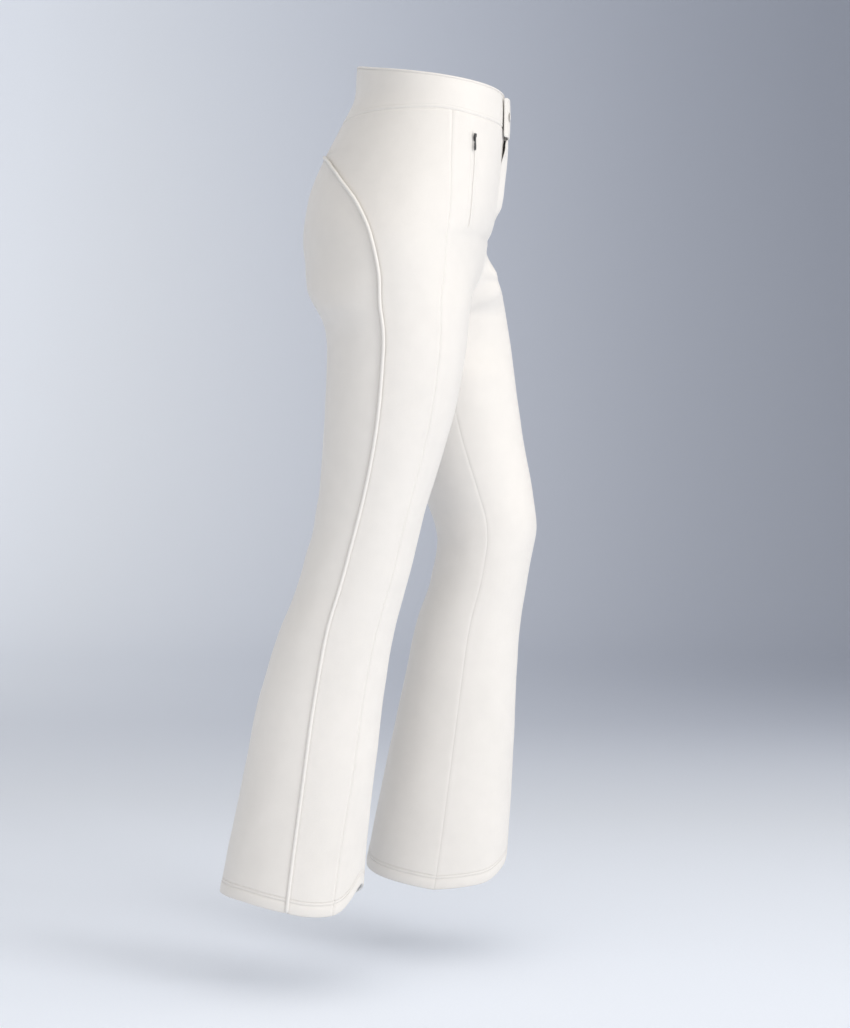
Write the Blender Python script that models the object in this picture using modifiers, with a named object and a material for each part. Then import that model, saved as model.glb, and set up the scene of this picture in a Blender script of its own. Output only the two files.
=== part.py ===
"""Softshell ski pants, held open at the waist and caught in mid stride.

Metres, +Z up. The front faces -Y and the wearer's right is -X. The origin is the centre of the waist opening.
The right leg trails and the left leg steps forward, so each side has its own front and back profile.
"""

import math

import bmesh
import bpy
from mathutils import Matrix, Vector

# ---- driving sizes ----------------------------------------------------------------------------------------
FABRIC = 0.0012  # softshell, woven face bonded to fleece
SEAM_GAP = 0.0005  # between two panels at a seam
LAYER_GAP = 0.0004  # between two layers lying on each other
ZIP_DEPTH = FABRIC + 0.0011  # the outer face of a zip's tape
TAPE = 0.0006
CROTCH_Z = -0.290
FORK_TOP_Z = -0.200  # where the rise seams start to curve under
CROTCH_FORWARD = -0.030
CROTCH_REACH = 0.0835  # from the middle to the line over which the fork turns under
RISE_FRONT = 0.0668  # where the rise seams start to curve under, in front and behind
RISE_BACK = -0.1580
FLY_BOTTOM_Z = -0.150
FLY_TOP_Z = -0.0668
FLY_SLOT_HALF = 0.004  # half the width of the open slot that the fly zip fills
COIL_DEPTH = 0.0010  # the face of the fly zip's coil
FLAP_TOP_Z = -0.0765
FLAP_FOOT_Z = -0.172
FLAP_ROOT = 0.0135  # sideways, positive to the wearer's left
FLAP_END = -0.029
TAB_TOP_Z = -0.0273
TAB_FOOT_Z = -0.0744
TAB_ROOT = 0.0230
TAB_END = -0.034
SNAP = (-0.0245, -0.0500)  # sideways place and height
PIPING_RADIUS = 0.0020
PIPING_LIFT = 0.0007
WAIST_SEAM_GAP = 0.0009  # between the panels and the waistband
GRIP_FROM = 9  # the waist column where the grip elastic starts
LEG_REACH = 0.070  # rough distances from a half's middle line, for turning widths into angles
POCKET_REACH = 0.118
FRONT_REACH = 0.140
HEM_DEPTH = 0.018  # turned up inside and stitched
GAITER_TOP_Z = -0.864
GAITER_FOOT_Z = -0.956
POCKET_TOP_Z = -0.0745
POCKET_FOOT_Z = -0.190
POCKET_SLOT_HALF = 0.0022
POCKET_RUN = (-0.0775, -0.175, -0.125)  # where the slider is when shut, when open, and half way
SLIDER_LENGTH = 0.010
SLIDER_WIDTH = 0.0066

SIDES = {"right": -1.0, "left": 1.0}

# Profiles are points (height, forward distance), read from the waist down.
TORSO_FRONT = [(0.020, 0.0858), (-0.022, 0.0875), (-0.066, 0.0872), (-0.100, 0.0856), (-0.130, 0.0825),
               (-0.150, 0.0803), (-0.165, 0.0780), (-0.180, 0.0745), (-0.190, 0.0712), (-0.198, 0.0670)]
TORSO_BACK = [(0.020, -0.0915), (0.000, -0.0925), (-0.020, -0.0938), (-0.032, -0.0970), (-0.050, -0.1062),
              (-0.075, -0.1195), (-0.0987, -0.1320), (-0.128, -0.1450), (-0.150, -0.1520), (-0.198, -0.1580)]
LEG_FRONT = {
    "right": [(-0.235, 0.057), (-0.273, 0.046), (-0.336, 0.039), (-0.400, 0.0275), (-0.465, 0.0095),
              (-0.523, -0.0085), (-0.600, -0.0275), (-0.667, -0.0455), (-0.740, -0.0580), (-0.812, -0.0665),
              (-0.921, -0.0795), (-1.010, -0.0855)],
    "left": [(-0.241, 0.0830), (-0.290, 0.0935), (-0.345, 0.1020), (-0.395, 0.1085), (-0.450, 0.1170),
             (-0.507, 0.1275), (-0.553, 0.1325), (-0.600, 0.1252), (-0.675, 0.1130), (-0.740, 0.1080),
             (-0.830, 0.1045), (-0.930, 0.0995), (-1.010, 0.0925)],
}
LEG_BACK = {
    "right": [(-0.257, -0.1512), (-0.278, -0.1435), (-0.297, -0.1318), (-0.312, -0.1272), (-0.340, -0.1262),
              (-0.400, -0.1285), (-0.465, -0.1325), (-0.523, -0.1385), (-0.572, -0.1500), (-0.619, -0.1640),
              (-0.667, -0.1835), (-0.715, -0.1990), (-0.763, -0.2125), (-0.812, -0.2220), (-0.860, -0.2315),
              (-0.921, -0.2445), (-1.010, -0.2620)],
    "left": [(-0.257, -0.1485), (-0.300, -0.118), (-0.342, -0.086), (-0.393, -0.059), (-0.444, -0.041),
             (-0.510, -0.0125), (-0.535, -0.001), (-0.560, 0.005), (-0.583, 0.0055), (-0.622, -0.0015),
             (-0.674, -0.0195), (-0.751, -0.036), (-0.867, -0.061), (-1.010, -0.0895)],
}
TORSO_MIDDLE = [(0.020, 0.0), (-0.020, 0.0), (-0.050, -0.005), (-0.100, -0.018), (-0.150, -0.031),
                (-0.200, -0.043), (-0.260, -0.045)]
# How far a leg or a hip reaches to the side, and how far the inside of the leg is from the middle.
OUTER = [(0.020, 0.1125), (-0.010, 0.1155), (-0.050, 0.124), (-0.190, 0.1645), (-0.230, 0.1690),
         (-0.290, 0.1670), (-0.400, 0.1620), (-0.540, 0.1510), (-0.700, 0.1490), (-0.850, 0.1530),
         (-1.010, 0.1594)]
INNER = [(-0.290, 0.0), (-0.355, 0.006), (-0.465, 0.018), (-0.540, 0.027), (-0.650, 0.029),
         (-0.800, 0.027), (-1.010, 0.0205)]

# Edges are points (angle in degrees round the body, height): -90 is centre front, 0 the side and 90 centre back.
BAND_TOP = [(-180, -0.0223), (-90, -0.0223), (-45, -0.0165), (0, -0.008), (45, 0.0025), (90, 0.0134),
            (180, 0.0134)]
BAND_FOOT = [(-180, -0.0640), (-90, -0.0640), (-45, -0.0580), (-10, -0.0503), (15, -0.0500), (45, -0.0508),
             (70, -0.0552), (90, -0.0590), (180, -0.0590)]
HEM_EDGE = [(-180, -1.007), (-155, -1.005), (-132, -1.0015), (-112, -0.990), (-92, -0.9785), (-80, -0.9715),
            (-68, -0.9750), (-57, -0.9870), (-46, -0.9980), (-34, -1.0015), (-14, -0.9995), (2, -0.9945),
            (24, -0.9880), (45, -0.9835), (86, -0.9830), (101, -0.9885), (134, -0.9960), (150, -0.9995),
            (168, -1.004), (180, -1.007)]

# Seams are points (height, angle round the body).
FRONT_SEAM = [(-0.040, -16), (-0.110, -23.5), (-0.167, -29.5), (-0.260, -37), (-0.360, -39), (-0.480, -42),
              (-0.820, -43), (-1.010, -37)]
SIDE_SEAM = [(-0.0945, 90), (-0.1052, 66.5), (-0.1204, 51), (-0.134, 41.5), (-0.152, 31), (-0.175, 21.5),
             (-0.1985, 14.7), (-0.230, 10.3), (-0.265, 8.6), (-0.310, 9.6), (-0.360, 9.4), (-0.405, 8.7),
             (-0.450, 8.7), (-0.495, 9.6), (-0.545, 11.2), (-0.600, 11.7), (-0.637, 11.0), (-0.670, 8.8),
             (-0.707, 6.5), (-0.754, 4.4), (-0.810, 3.4), (-0.860, 2.3), (-0.920, 1.0), (-1.010, 0.3)]
POCKET_SEAM = [(-0.060, -34), (-0.100, -40), (-0.153, -44), (-0.200, -48)]

# Heights of the panels' rows of points, closest together where the seams curve most.
ROWS = [-0.0563, -0.078, -0.0965, -0.1135, -0.132, -0.153, -0.176, -0.189, -0.200, -0.211, -0.224, -0.246, -0.264,
        -0.279, -0.290, -0.320, -0.355, -0.392, -0.430, -0.468, -0.504, -0.540, -0.575, -0.610, -0.650, -0.692,
        -0.735, -0.780, -0.825, -0.870, -0.910, -0.950, -0.990]
YOKE_ROW = 2  # the back panel's first row
HEM_ROW_Z = ROWS[-1]
COLUMNS = {"front": 8, "side": 5, "back": 7}
WAIST_COLUMNS = 14  # on each half


# ---- curves -----------------------------------------------------------------------------------------------
def through(points, at):
    """A smooth curve through points (place, value), held level past its ends."""
    points = sorted(points)
    if at <= points[0][0]:
        return points[0][1]
    if at >= points[-1][0]:
        return points[-1][1]
    k = next(i for i in range(len(points) - 1) if at <= points[i + 1][0])
    (x0, y0), (x1, y1) = points[k], points[k + 1]

    def slope(i):
        lo, hi = points[max(i - 1, 0)], points[min(i + 1, len(points) - 1)]
        return (hi[1] - lo[1]) / (hi[0] - lo[0])

    h = x1 - x0
    t = (at - x0) / h
    rise = (2 * t**3 - 3 * t**2 + 1) * y0 + (3 * t**2 - 2 * t**3) * y1
    return rise + h * ((t**3 - 2 * t**2 + t) * slope(k) + (t**3 - t**2) * slope(k + 1))


def ease(t):
    t = min(max(t, 0.0), 1.0)
    return t * t * (3 - 2 * t)


def fork(z):
    """How far down the fork the height is: 0 where the rise seams leave the vertical, 1 at the crotch."""
    return min(max((FORK_TOP_Z - z) / (FORK_TOP_Z - CROTCH_Z), 0.0), 1.0)


def parted(z):
    """How far the two legs have parted, from 0 at the top of the fork to 1 at the crotch, where it levels off."""
    down = fork(z)
    return min(down**1.4 + 1.4 * (1 - down) * ease((down - 0.75) / 0.25), 1.0)


def end_angle(z):
    """The angle, in degrees, where one half of the garment ends: on the rise seams, or at the inseam."""
    return 90 + math.degrees(math.asin(parted(z)))


def middle(side, z):
    """The forward distance of the half's middle line."""
    leg = (through(TORSO_FRONT + LEG_FRONT[side], z) + through(TORSO_BACK + LEG_BACK[side], z)) / 2
    torso = through(TORSO_MIDDLE, z)
    return torso + (leg - torso) * ease((-0.240 - z) / 0.095)


def rise_forward(z, front):
    """Where the rise seam, or below the crotch the inseam, passes at this height."""
    reach = (RISE_FRONT if front else RISE_BACK) - CROTCH_FORWARD
    return CROTCH_FORWARD + reach * math.sqrt(1 - fork(z) ** 2)


def on_half(side, angle, z):
    """A point on the outside of the garment."""
    sign, rad = SIDES[side], math.radians(angle)
    out = through(OUTER, z)
    if z >= CROTCH_Z:
        across, inner = CROTCH_REACH * parted(z), CROTCH_REACH
    else:
        inside = through(INNER, z)
        across, inner = (out + inside) / 2, (out - inside) / 2
    x = across + ((out - across) if abs(angle) <= 90 else inner) * math.cos(rad)
    centre = middle(side, z)
    profile = TORSO_FRONT + LEG_FRONT[side] if angle < 0 else TORSO_BACK + LEG_BACK[side]
    depth = through(profile, z) - centre
    forward = centre + depth * abs(math.sin(rad))
    if z < FORK_TOP_Z:
        forward += drawn_in(angle, z, centre, depth)
    return Vector((sign * x, -forward, z))


def drawn_in(angle, z, centre, depth):
    """How far a ring is drawn towards the shared rise seam. Below the crotch it goes free within a hand's width."""
    last = end_angle(z)
    free = ease((CROTCH_Z - z) / 0.08)
    seam = rise_forward(z, angle < 0)
    seam += (centre - seam) * free
    shift = (CROTCH_FORWARD - centre) * ease(fork(z)) * (1 - free)
    crease = seam - centre - depth * abs(math.sin(math.radians(last))) - shift
    broad = min(90, last - 30)
    narrow = last - max(20, min(last - 90, 3 * (180 - last)))
    pulled = shift * ease((abs(angle) - broad) / (last - broad))
    pulled += crease * ease((abs(angle) - narrow) / (last - narrow))
    return pulled * ease((FORK_TOP_Z - z) / 0.006)


def outward(side, angle, z):
    """The direction out of the garment at a point."""
    last = end_angle(z) - 0.5
    angle = min(max(angle, -last), last)
    step = 0.6
    round_it = on_half(side, min(angle + step, last), z) - on_half(side, max(angle - step, -last), z)
    up = on_half(side, angle, z + 0.002) - on_half(side, angle, z - 0.002)
    n = round_it.cross(up) * SIDES[side]
    return n.normalized()


def at(side, angle, z, depth=0.0):
    """A point that lies depth inside the garment's outer face, kept on its own side of the middle."""
    p = on_half(side, angle, z) - outward(side, angle, z) * depth
    limit = SIDES[side] * SEAM_GAP / 2
    p.x = min(p.x, limit) if side == "right" else max(p.x, limit)
    return p


def row_height(angle, z):
    """The height of a panel's row at an angle: the top follows the waistband and the foot follows the hem."""
    top = ease((z + 0.110) / 0.0537)
    foot = ease((-0.870 - z) / 0.120)
    waist = through(BAND_FOOT, angle) - WAIST_SEAM_GAP - ROWS[0]
    return z + waist * top + (through(HEM_EDGE, angle) - HEM_ROW_Z) * foot


def gap_angle(seam, z):
    """Half a seam's gap as an angle, wider where the seam runs across the leg."""
    lean = math.radians(through(seam, z + 0.004) - through(seam, z - 0.004)) / 0.008 * 0.09
    return math.degrees(SEAM_GAP / 2 / LEG_REACH) * math.sqrt(1 + lean * lean)


# ---- building blocks --------------------------------------------------------------------------------------
def collection(name):
    made = bpy.data.collections.new(name)
    bpy.context.scene.collection.children.link(made)
    return made


def material(name, colour, roughness, metallic=0.0):
    made = bpy.data.materials.new(name)
    made.use_nodes = True
    shader = made.node_tree.nodes["Principled BSDF"]
    shader.inputs["Base Color"].default_value = (*colour, 1)
    shader.inputs["Roughness"].default_value = roughness
    shader.inputs["Metallic"].default_value = metallic
    return made


def place(obj, mat, group, smooth=True):
    """Files an object in its collection, with its material."""
    for held in list(obj.users_collection):
        held.objects.unlink(obj)
    group.objects.link(obj)
    obj.data.materials.clear()
    obj.data.materials.append(mat)
    if smooth and obj.type == "MESH":
        obj.data.shade_smooth()
        obj.data.set_sharp_from_angle(angle=math.radians(35))
    return obj


def pivot(obj, point):
    """Moves an object's origin to a point on its joint's axis, leaving its shape where it is."""
    obj.data.transform(Matrix.Translation(-point))
    obj.matrix_world = Matrix.Translation(point)
    return obj


def carry(obj, carrier, at_point):
    """Parents a piece to the moving piece that carries it, whose origin is at a point."""
    obj.parent = carrier
    obj.matrix_parent_inverse = Matrix.Translation(-at_point)


def shell(name, outer, inner, mat, group, closed=False):
    """A closed sheet of cloth between two grids of points, each a list of rows."""
    rows, columns = len(outer), len(outer[0])
    bm = bmesh.new()
    faces_out = [[bm.verts.new(p) for p in row] for row in outer]
    faces_in = [[bm.verts.new(p) for p in row] for row in inner]
    span = range(columns if closed else columns - 1)
    for r in range(rows - 1):
        for c in span:
            d = (c + 1) % columns
            bm.faces.new((faces_out[r][c], faces_out[r][d], faces_out[r + 1][d], faces_out[r + 1][c]))
            bm.faces.new((faces_in[r][c], faces_in[r + 1][c], faces_in[r + 1][d], faces_in[r][d]))
    for c in span:
        d = (c + 1) % columns
        for r in (0, rows - 1):
            bm.faces.new((faces_out[r][c], faces_in[r][c], faces_in[r][d], faces_out[r][d]))
    if not closed:
        for r in range(rows - 1):
            for c in (0, columns - 1):
                bm.faces.new((faces_out[r][c], faces_out[r + 1][c], faces_in[r + 1][c], faces_in[r][c]))
    bmesh.ops.recalc_face_normals(bm, faces=bm.faces)
    mesh = bpy.data.meshes.new(name)
    bm.to_mesh(mesh)
    bm.free()
    return place(bpy.data.objects.new(name, mesh), mat, group)


def tube(name, points, radius, mat, group):
    curve = bpy.data.curves.new(name, "CURVE")
    curve.dimensions = "3D"
    curve.bevel_depth = radius
    curve.bevel_resolution = 2
    curve.use_fill_caps = True
    line = curve.splines.new("POLY")
    line.points.add(len(points) - 1)
    for point, p in zip(line.points, points):
        point.co = (*p, 1)
    return place(bpy.data.objects.new(name, curve), mat, group)


def plate(name, outline, thickness, frame, mat, group):
    """A flat outline with a thickness, standing in a frame whose X and Y are the outline's."""
    curve = bpy.data.curves.new(name, "CURVE")
    curve.dimensions = "2D"
    curve.fill_mode = "BOTH"
    curve.extrude = thickness / 2
    line = curve.splines.new("POLY")
    line.points.add(len(outline) - 1)
    for point, (x, y) in zip(line.points, outline):
        point.co = (x, y, 0, 1)
    line.use_cyclic_u = True
    obj = bpy.data.objects.new(name, curve)
    obj.matrix_world = frame
    return place(obj, mat, group)


def turned(name, profile, frame, mat, group):
    """A round piece: a profile of (radius, height) turned about its frame's Z."""
    mesh = bpy.data.meshes.new(name)
    points = [(r, 0, h) for r, h in profile]
    mesh.from_pydata(points, [(i, i + 1) for i in range(len(points) - 1)], [])
    obj = bpy.data.objects.new(name, mesh)
    obj.matrix_world = frame
    screw = obj.modifiers.new("turn", "SCREW")
    screw.steps = screw.render_steps = 20
    screw.use_merge_vertices = True
    screw.merge_threshold = 0.00005
    return place(obj, mat, group, smooth=False)


def frame_at(origin, x_axis, z_axis):
    """A frame with the given origin, X direction and Z direction."""
    z = Vector(z_axis).normalized()
    x = (Vector(x_axis) - Vector(x_axis).dot(z) * z).normalized()
    y = z.cross(x)
    return Matrix.Translation(origin) @ Matrix((x, y, z)).transposed().to_4x4()


def spread(a, b, n):
    return [a + (b - a) * i / n for i in range(n + 1)]


# ---- panels -----------------------------------------------------------------------------------------------
def panel(name, side, start, stop, columns, rows, mat, group):
    """A cut panel of softshell between two edges, each a function of height that gives an angle."""
    grids = []
    for depth in (0.0, FABRIC):
        grid = []
        for z in rows:
            angles = spread(start(z), stop(z), columns)
            grid.append([at(side, a, row_height(a, z), depth) for a in angles])
        grids.append(grid)
    return shell(name, grids[0], grids[1], mat, group)


def centre_edge(sign):
    """A half's edge at the rise seam and the inseam, kept open beside the fly zip."""

    def edge(z):
        room = math.degrees(SEAM_GAP / 2 / LEG_REACH)
        if sign < 0 and z > FLY_BOTTOM_Z - 0.01:
            room = math.degrees(FLY_SLOT_HALF / FRONT_REACH)
        return sign * (end_angle(z) - room)

    return edge


def front_seam_at(z, beside=0):
    return through(FRONT_SEAM, z) + beside * gap_angle(FRONT_SEAM, z)


def side_seam_at(z, beside=0):
    return min(through(SIDE_SEAM, z) + beside * gap_angle(SIDE_SEAM, z), centre_edge(1)(z))


def pocket_angle(z):
    return through(POCKET_SEAM, z)


POCKET_HEIGHTS = spread(POCKET_TOP_Z, POCKET_FOOT_Z, 7)


def slit_cutter(side, group, mat):
    """The opening that the pocket zip fills, as a thin block that follows the panel."""
    wide = math.degrees(POCKET_SLOT_HALF / POCKET_REACH)
    grids = []
    for depth in (-0.004, 0.006):
        grids.append([[at(side, pocket_angle(z) + k * wide, z, depth) for k in (-1, 1)] for z in POCKET_HEIGHTS])
    cutter = shell(f"{side}_pocket_slit", grids[0], grids[1], mat, group)
    cutter.hide_render = True
    cutter.display_type = "WIRE"
    return cutter


def panels(side, mats, group, cutters):
    front = panel(f"{side}_front_panel", side, centre_edge(-1), lambda z: front_seam_at(z, -1), COLUMNS["front"],
                  ROWS, mats["shell"], group)
    cut = front.modifiers.new("pocket", "BOOLEAN")
    cut.operation = "DIFFERENCE"
    cut.object = slit_cutter(side, cutters, mats["shell"])
    panel(f"{side}_side_panel", side, lambda z: front_seam_at(z, 1), lambda z: side_seam_at(z, -1),
          COLUMNS["side"], ROWS, mats["shell"], group)
    panel(f"{side}_back_panel", side, lambda z: side_seam_at(z, 1), centre_edge(1), COLUMNS["back"],
          ROWS[YOKE_ROW:], mats["shell"], group)


def side_piping(side, mats, group):
    """Corded piping that lies on the side seam, from centre back down to the hem."""
    heights = [-0.0975, -0.103, -0.110, -0.120, -0.132, -0.142] + ROWS[5:-1] + [-0.9895]
    points = []
    for z in heights:
        angle = through(SIDE_SEAM, z)
        points.append(at(side, angle, row_height(angle, z), -PIPING_RADIUS - PIPING_LIFT))
    tube(f"{side}_side_piping", points, PIPING_RADIUS, mats["piping"], group)


# ---- waist ------------------------------------------------------------------------------------------------
def round_the_waist(first, each):
    """Places (side, angle) from the right front, round the back, to the left front."""
    right = [("right", a) for a in spread(first, 90, each)[:-1]]
    return right + [("back", 90)] + [("left", a) for _, a in reversed(right)]


def band_point(place_, share, depth, top=BAND_TOP, foot=BAND_FOOT):
    side, angle = place_
    z = through(foot, angle) + (through(top, angle) - through(foot, angle)) * share
    if side == "back":
        p = at("right", angle, z, depth)
        return Vector((0, p.y, p.z))
    return at(side, angle, z, depth)


def band(name, start_angle, each, low, high, depth, thickness, mat, group):
    """A band round the waist, between two shares of the waistband's height."""
    places = round_the_waist(start_angle, each)
    grids = []
    for d in (depth, depth + thickness):
        grids.append([[band_point(p, s, d) for p in places] for s in (low, (low + high) / 2, high)])
    return shell(name, grids[0], grids[1], mat, group)


def hanger_loop(side, mats, group):
    """A flat ribbon loop that hangs inside the waistband at the side."""
    turn, drop, tape = 0.0009, 0.052, 0.0006
    outline = []
    for radius, order in ((turn + tape, 1), (turn, -1)):
        arc = [math.pi * k / 8 for k in range(9)][::order]
        legs = [(radius * math.cos(a), -drop - radius * math.sin(a)) for a in arc]
        top = [(legs[0][0], 0)] + legs + [(legs[-1][0], 0)]
        outline += top
    start = at(side, 0, -0.013, 0.0062)
    plate(f"{side}_hanger_loop", outline, 0.008, frame_at(start, (1, 0, 0), (0, -1, 0)), mats["ribbon"], group)


def waist(mats, group):
    edge = -90 + math.degrees(0.0007 / 0.115)
    step = (90 - edge) / WAIST_COLUMNS
    band("waistband", edge, WAIST_COLUMNS, 0.0, 1.0, 0.0, FABRIC, mats["shell"], group)
    lining_depth = FABRIC + LAYER_GAP
    band("waistband_facing", edge, WAIST_COLUMNS, 0.04, 1.0, lining_depth, 0.0010, mats["lining"], group)
    grip_depth = lining_depth + 0.0010 + LAYER_GAP + 0.0003
    band("waist_grip_elastic", edge + GRIP_FROM * step, WAIST_COLUMNS - GRIP_FROM, 0.45, 0.80, grip_depth, 0.0012,
         mats["elastic"], group)
    for side in SIDES:
        hanger_loop(side, mats, group)
    heights = spread(-0.060, -0.104, 3)
    grids = []
    for depth in (0.0046, 0.0052):
        grids.append([[at("right", 90, z, depth) + Vector((x, 0, 0)) for x in (-0.012, 0.0, 0.012)] for z in heights])
    shell("care_label", grids[0], grids[1], mats["ribbon"], group)


# ---- fly and waist tab ------------------------------------------------------------------------------------
def on_front(x, z, depth=0.0):
    """A point at a sideways place on the front, depth inside the outer face."""
    centre = middle("right", z)
    reach = through(TORSO_FRONT, z) - centre
    forward = centre + (reach - depth) * math.sqrt(1 - (x / through(OUTER, z)) ** 2)
    return Vector((x, -forward, z))


def front_sheet(name, columns, heights, mat, group, settle=lambda z: 1.0):
    """A sheet on the front. Each column is (x, depth of its outer face, depth of its inner face), and
    settle is the share of those depths that it keeps at a height."""
    outer = [[on_front(x, z, a * settle(z)) for x, a, _ in columns] for z in heights]
    inner = [[on_front(x, z, b * settle(z)) for x, _, b in columns] for z in heights]
    return shell(name, outer, inner, mat, group)


FLY_RUN = (-0.0748, -0.1408)  # the top of the fly's slider closed, and its foot fully down
FLY_DOWN = (on_front(0, FLY_RUN[1]) - on_front(0, FLY_RUN[0])).normalized()
FLY_OUT = FLY_DOWN.cross(Vector((1, 0, 0)))
FLAP_HINGE = on_front(FLAP_ROOT, FLAP_TOP_Z, -0.0030)
TAB_HINGE = on_front(TAB_ROOT, TAB_TOP_Z, -0.0035)


def flap_settle(z):
    """The fly flap lies closer to the front towards its foot."""
    return 1 - 0.65 * ease((-0.152 - z) / (-0.152 - FLAP_FOOT_Z))


def fly(mats, group):
    heights = spread(FLY_TOP_Z, FLY_BOTTOM_Z, 5)
    back = ZIP_DEPTH + TAPE
    for side, sign in SIDES.items():
        profile = ((0.0002, COIL_DEPTH), (0.0021, COIL_DEPTH), (0.0025, ZIP_DEPTH), (0.0085, ZIP_DEPTH),
                   (0.0145, ZIP_DEPTH))
        columns = [(sign * x, top, back) for x, top in profile]
        front_sheet(f"fly_zip_{side}", columns, heights, mats["zip_tape"], group)
    shield = [(x, 0.0040, 0.0048) for x in spread(-0.024, 0.013, 3)]
    front_sheet("fly_shield", shield, spread(FLY_TOP_Z, FLY_BOTTOM_Z - 0.016, 4), mats["lining"], group)
    lifts = ((FLAP_ROOT, 0), (0.000, 0.0006), (-0.014, 0.0010), (FLAP_END, 0.0008))
    flap = [(x, -0.0048 - lift, -0.0030 - lift) for x, lift in lifts]
    heights = spread(FLAP_TOP_Z, -0.152, 4) + [-0.160, -0.166, FLAP_FOOT_Z]
    made = front_sheet("fly_flap", flap, heights, mats["shell"], group, flap_settle)
    pivot(made, FLAP_HINGE)


def slider(name, origin, down, out, mat, pull_mat, group):
    """A zip slider and its pull. The slider is a channel with two cheeks, and the pull swings between them."""
    across = down.cross(out).normalized()
    half, cheek, floor, height = SLIDER_WIDTH / 2, 0.0013, 0.0011, 0.0027
    section = [(-half, 0), (half, 0), (half, height), (half - cheek, height), (half - cheek, floor),
               (-half + cheek, floor), (-half + cheek, height), (-half, height)]
    centre = origin + down * SLIDER_LENGTH / 2
    plate(name, section, SLIDER_LENGTH, frame_at(centre, across, across.cross(out)), mat, group)
    width, head, reach, grip = 0.0030, 0.0006, 0.0100, 0.0180
    upper = [(-head, width / 2), (reach, width / 2), (reach + 0.0015, 0.0029), (grip, 0.0029), (grip + 0.0015, 0.0018)]
    outline = [(x, -y) for x, y in upper] + upper[::-1]
    hinge = origin + down * 0.0012 + out * (floor + 0.0010)
    plate(name.replace("slider", "pull"), outline, 0.0012, frame_at(hinge, down, out), pull_mat, group)
    return hinge


def press_stud(tab, mats, group):
    """The waist tab's press stud: a cap and socket on the tab, and a stud on the band."""
    spot = on_front(*SNAP, 0.0)
    out = (on_front(*SNAP, -0.01) - spot).normalized()
    away = frame_at(spot, (0, 0, 1), out)

    def lifted(height):
        return away @ Matrix.Translation((0, 0, height))

    stud = [(0, 0.0024), (0.0018, 0.0024), (0.0020, 0.0020), (0.0018, 0.0010), (0.0045, 0.0008), (0.0045, 0.0),
            (0, 0.0)]
    turned("snap_stud", stud, lifted(0.0004), mats["metal"], group)
    socket = [(0.0025, 0.0008), (0.0048, 0.0008), (0.0050, 0.0004), (0.0048, 0.0), (0.0025, 0.0), (0.0025, 0.0008)]
    carry(turned("snap_socket", socket, lifted(0.0024), mats["metal"], group), tab, TAB_HINGE)
    cap = [(0, 0.0016), (0.0030, 0.0014), (0.0056, 0.0008), (0.0060, 0.0), (0, 0.0)]
    carry(turned("snap_cap", cap, lifted(0.0082), mats["snap"], group), tab, TAB_HINGE)


def waist_tab(mats, group):
    """The tab that laps the left end of the waistband over the right."""
    lift = [(TAB_ROOT, 0.0), (0.010, 0.0004), (-0.004, 0.0007), (-0.017, 0.0008), (-0.028, 0.0007), (TAB_END, 0.0005)]
    columns = [(x, -0.0070 - up * 0.5, -0.0042 - up * 0.3) for x, up in lift]
    made = front_sheet("waist_tab", columns, spread(TAB_TOP_Z, TAB_FOOT_Z, 3), mats["shell"], group)
    pivot(made, TAB_HINGE)
    press_stud(made, mats, group)


# ---- pockets ----------------------------------------------------------------------------------------------
def beside_pocket(side, offset, z, depth):
    """A point beside the pocket zip, offset along the surface in metres."""
    return at(side, pocket_angle(z) + math.degrees(offset / POCKET_REACH), z, depth)


def pocket(side, mats, group):
    heights = [POCKET_TOP_Z - 0.0008] + POCKET_HEIGHTS[1:-1] + [POCKET_FOOT_Z + 0.0008]
    face, back = ZIP_DEPTH, ZIP_DEPTH + TAPE
    inside = POCKET_SLOT_HALF - 0.0005
    for part, sign in (("front", -1), ("rear", 1)):
        columns = [(0.0002, 0.0006), (inside, 0.0006), (inside + 0.0003, face), (0.009, face)]
        outer = [[beside_pocket(side, sign * x, z, d) for x, d in columns] for z in heights]
        inner = [[beside_pocket(side, sign * x, z, back) for x, _ in columns] for z in heights]
        shell(f"{side}_pocket_zip_{part}", outer, inner, mats["zip_tape"], group)
    depths = spread(POCKET_TOP_Z + 0.004, FORK_TOP_Z, 4) + [-0.211, POCKET_FOOT_Z - 0.035]
    bag = []
    for d in (back + 0.0006, back + 0.0022):
        bag.append([[beside_pocket(side, x, z, d) for x in spread(-0.040, 0.024, 4)] for z in depths])
    shell(f"{side}_pocket_bag", bag[0], bag[1], mats["lining"], group)


def pocket_run(side):
    """Where a pocket's slider starts, the way it runs, and the way out of the cloth."""
    first = at(side, pocket_angle(POCKET_RUN[0]), POCKET_RUN[0])
    last = at(side, pocket_angle(POCKET_RUN[1]), POCKET_RUN[1])
    down = (last - first).normalized()
    half_way = outward(side, pocket_angle(POCKET_RUN[2]), POCKET_RUN[2])
    out = (half_way - half_way.dot(down) * down).normalized()
    bulge = max((at(side, pocket_angle(z), z) - first).dot(out) for z in spread(POCKET_RUN[0], POCKET_FOOT_Z, 10))
    return first + out * (bulge + 0.0004), down, out


# ---- hems and gaiters -------------------------------------------------------------------------------------
def ring(side, height, depth):
    """Points round a leg at a height, which may depend on the angle, lined up with the panels' columns."""
    z = height(0)
    front, back = front_seam_at(z), side_seam_at(z)
    angles = spread(-180, front, COLUMNS["front"]) + spread(front, back, COLUMNS["side"])[1:]
    angles += spread(back, 180, COLUMNS["back"])[1:-1]
    return [at(side, a, height(a), depth) for a in angles]


def hem(side, mats, group):
    depth = FABRIC + LAYER_GAP + 0.0006

    def level(up):
        return lambda a: row_height(a, HEM_ROW_Z) + up

    grids = [[ring(side, level(up), d) for up in (0.0, HEM_DEPTH / 2, HEM_DEPTH)] for d in (depth, depth + 0.0010)]
    shell(f"{side}_hem_facing", grids[0], grids[1], mats["lining"], group, closed=True)


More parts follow.
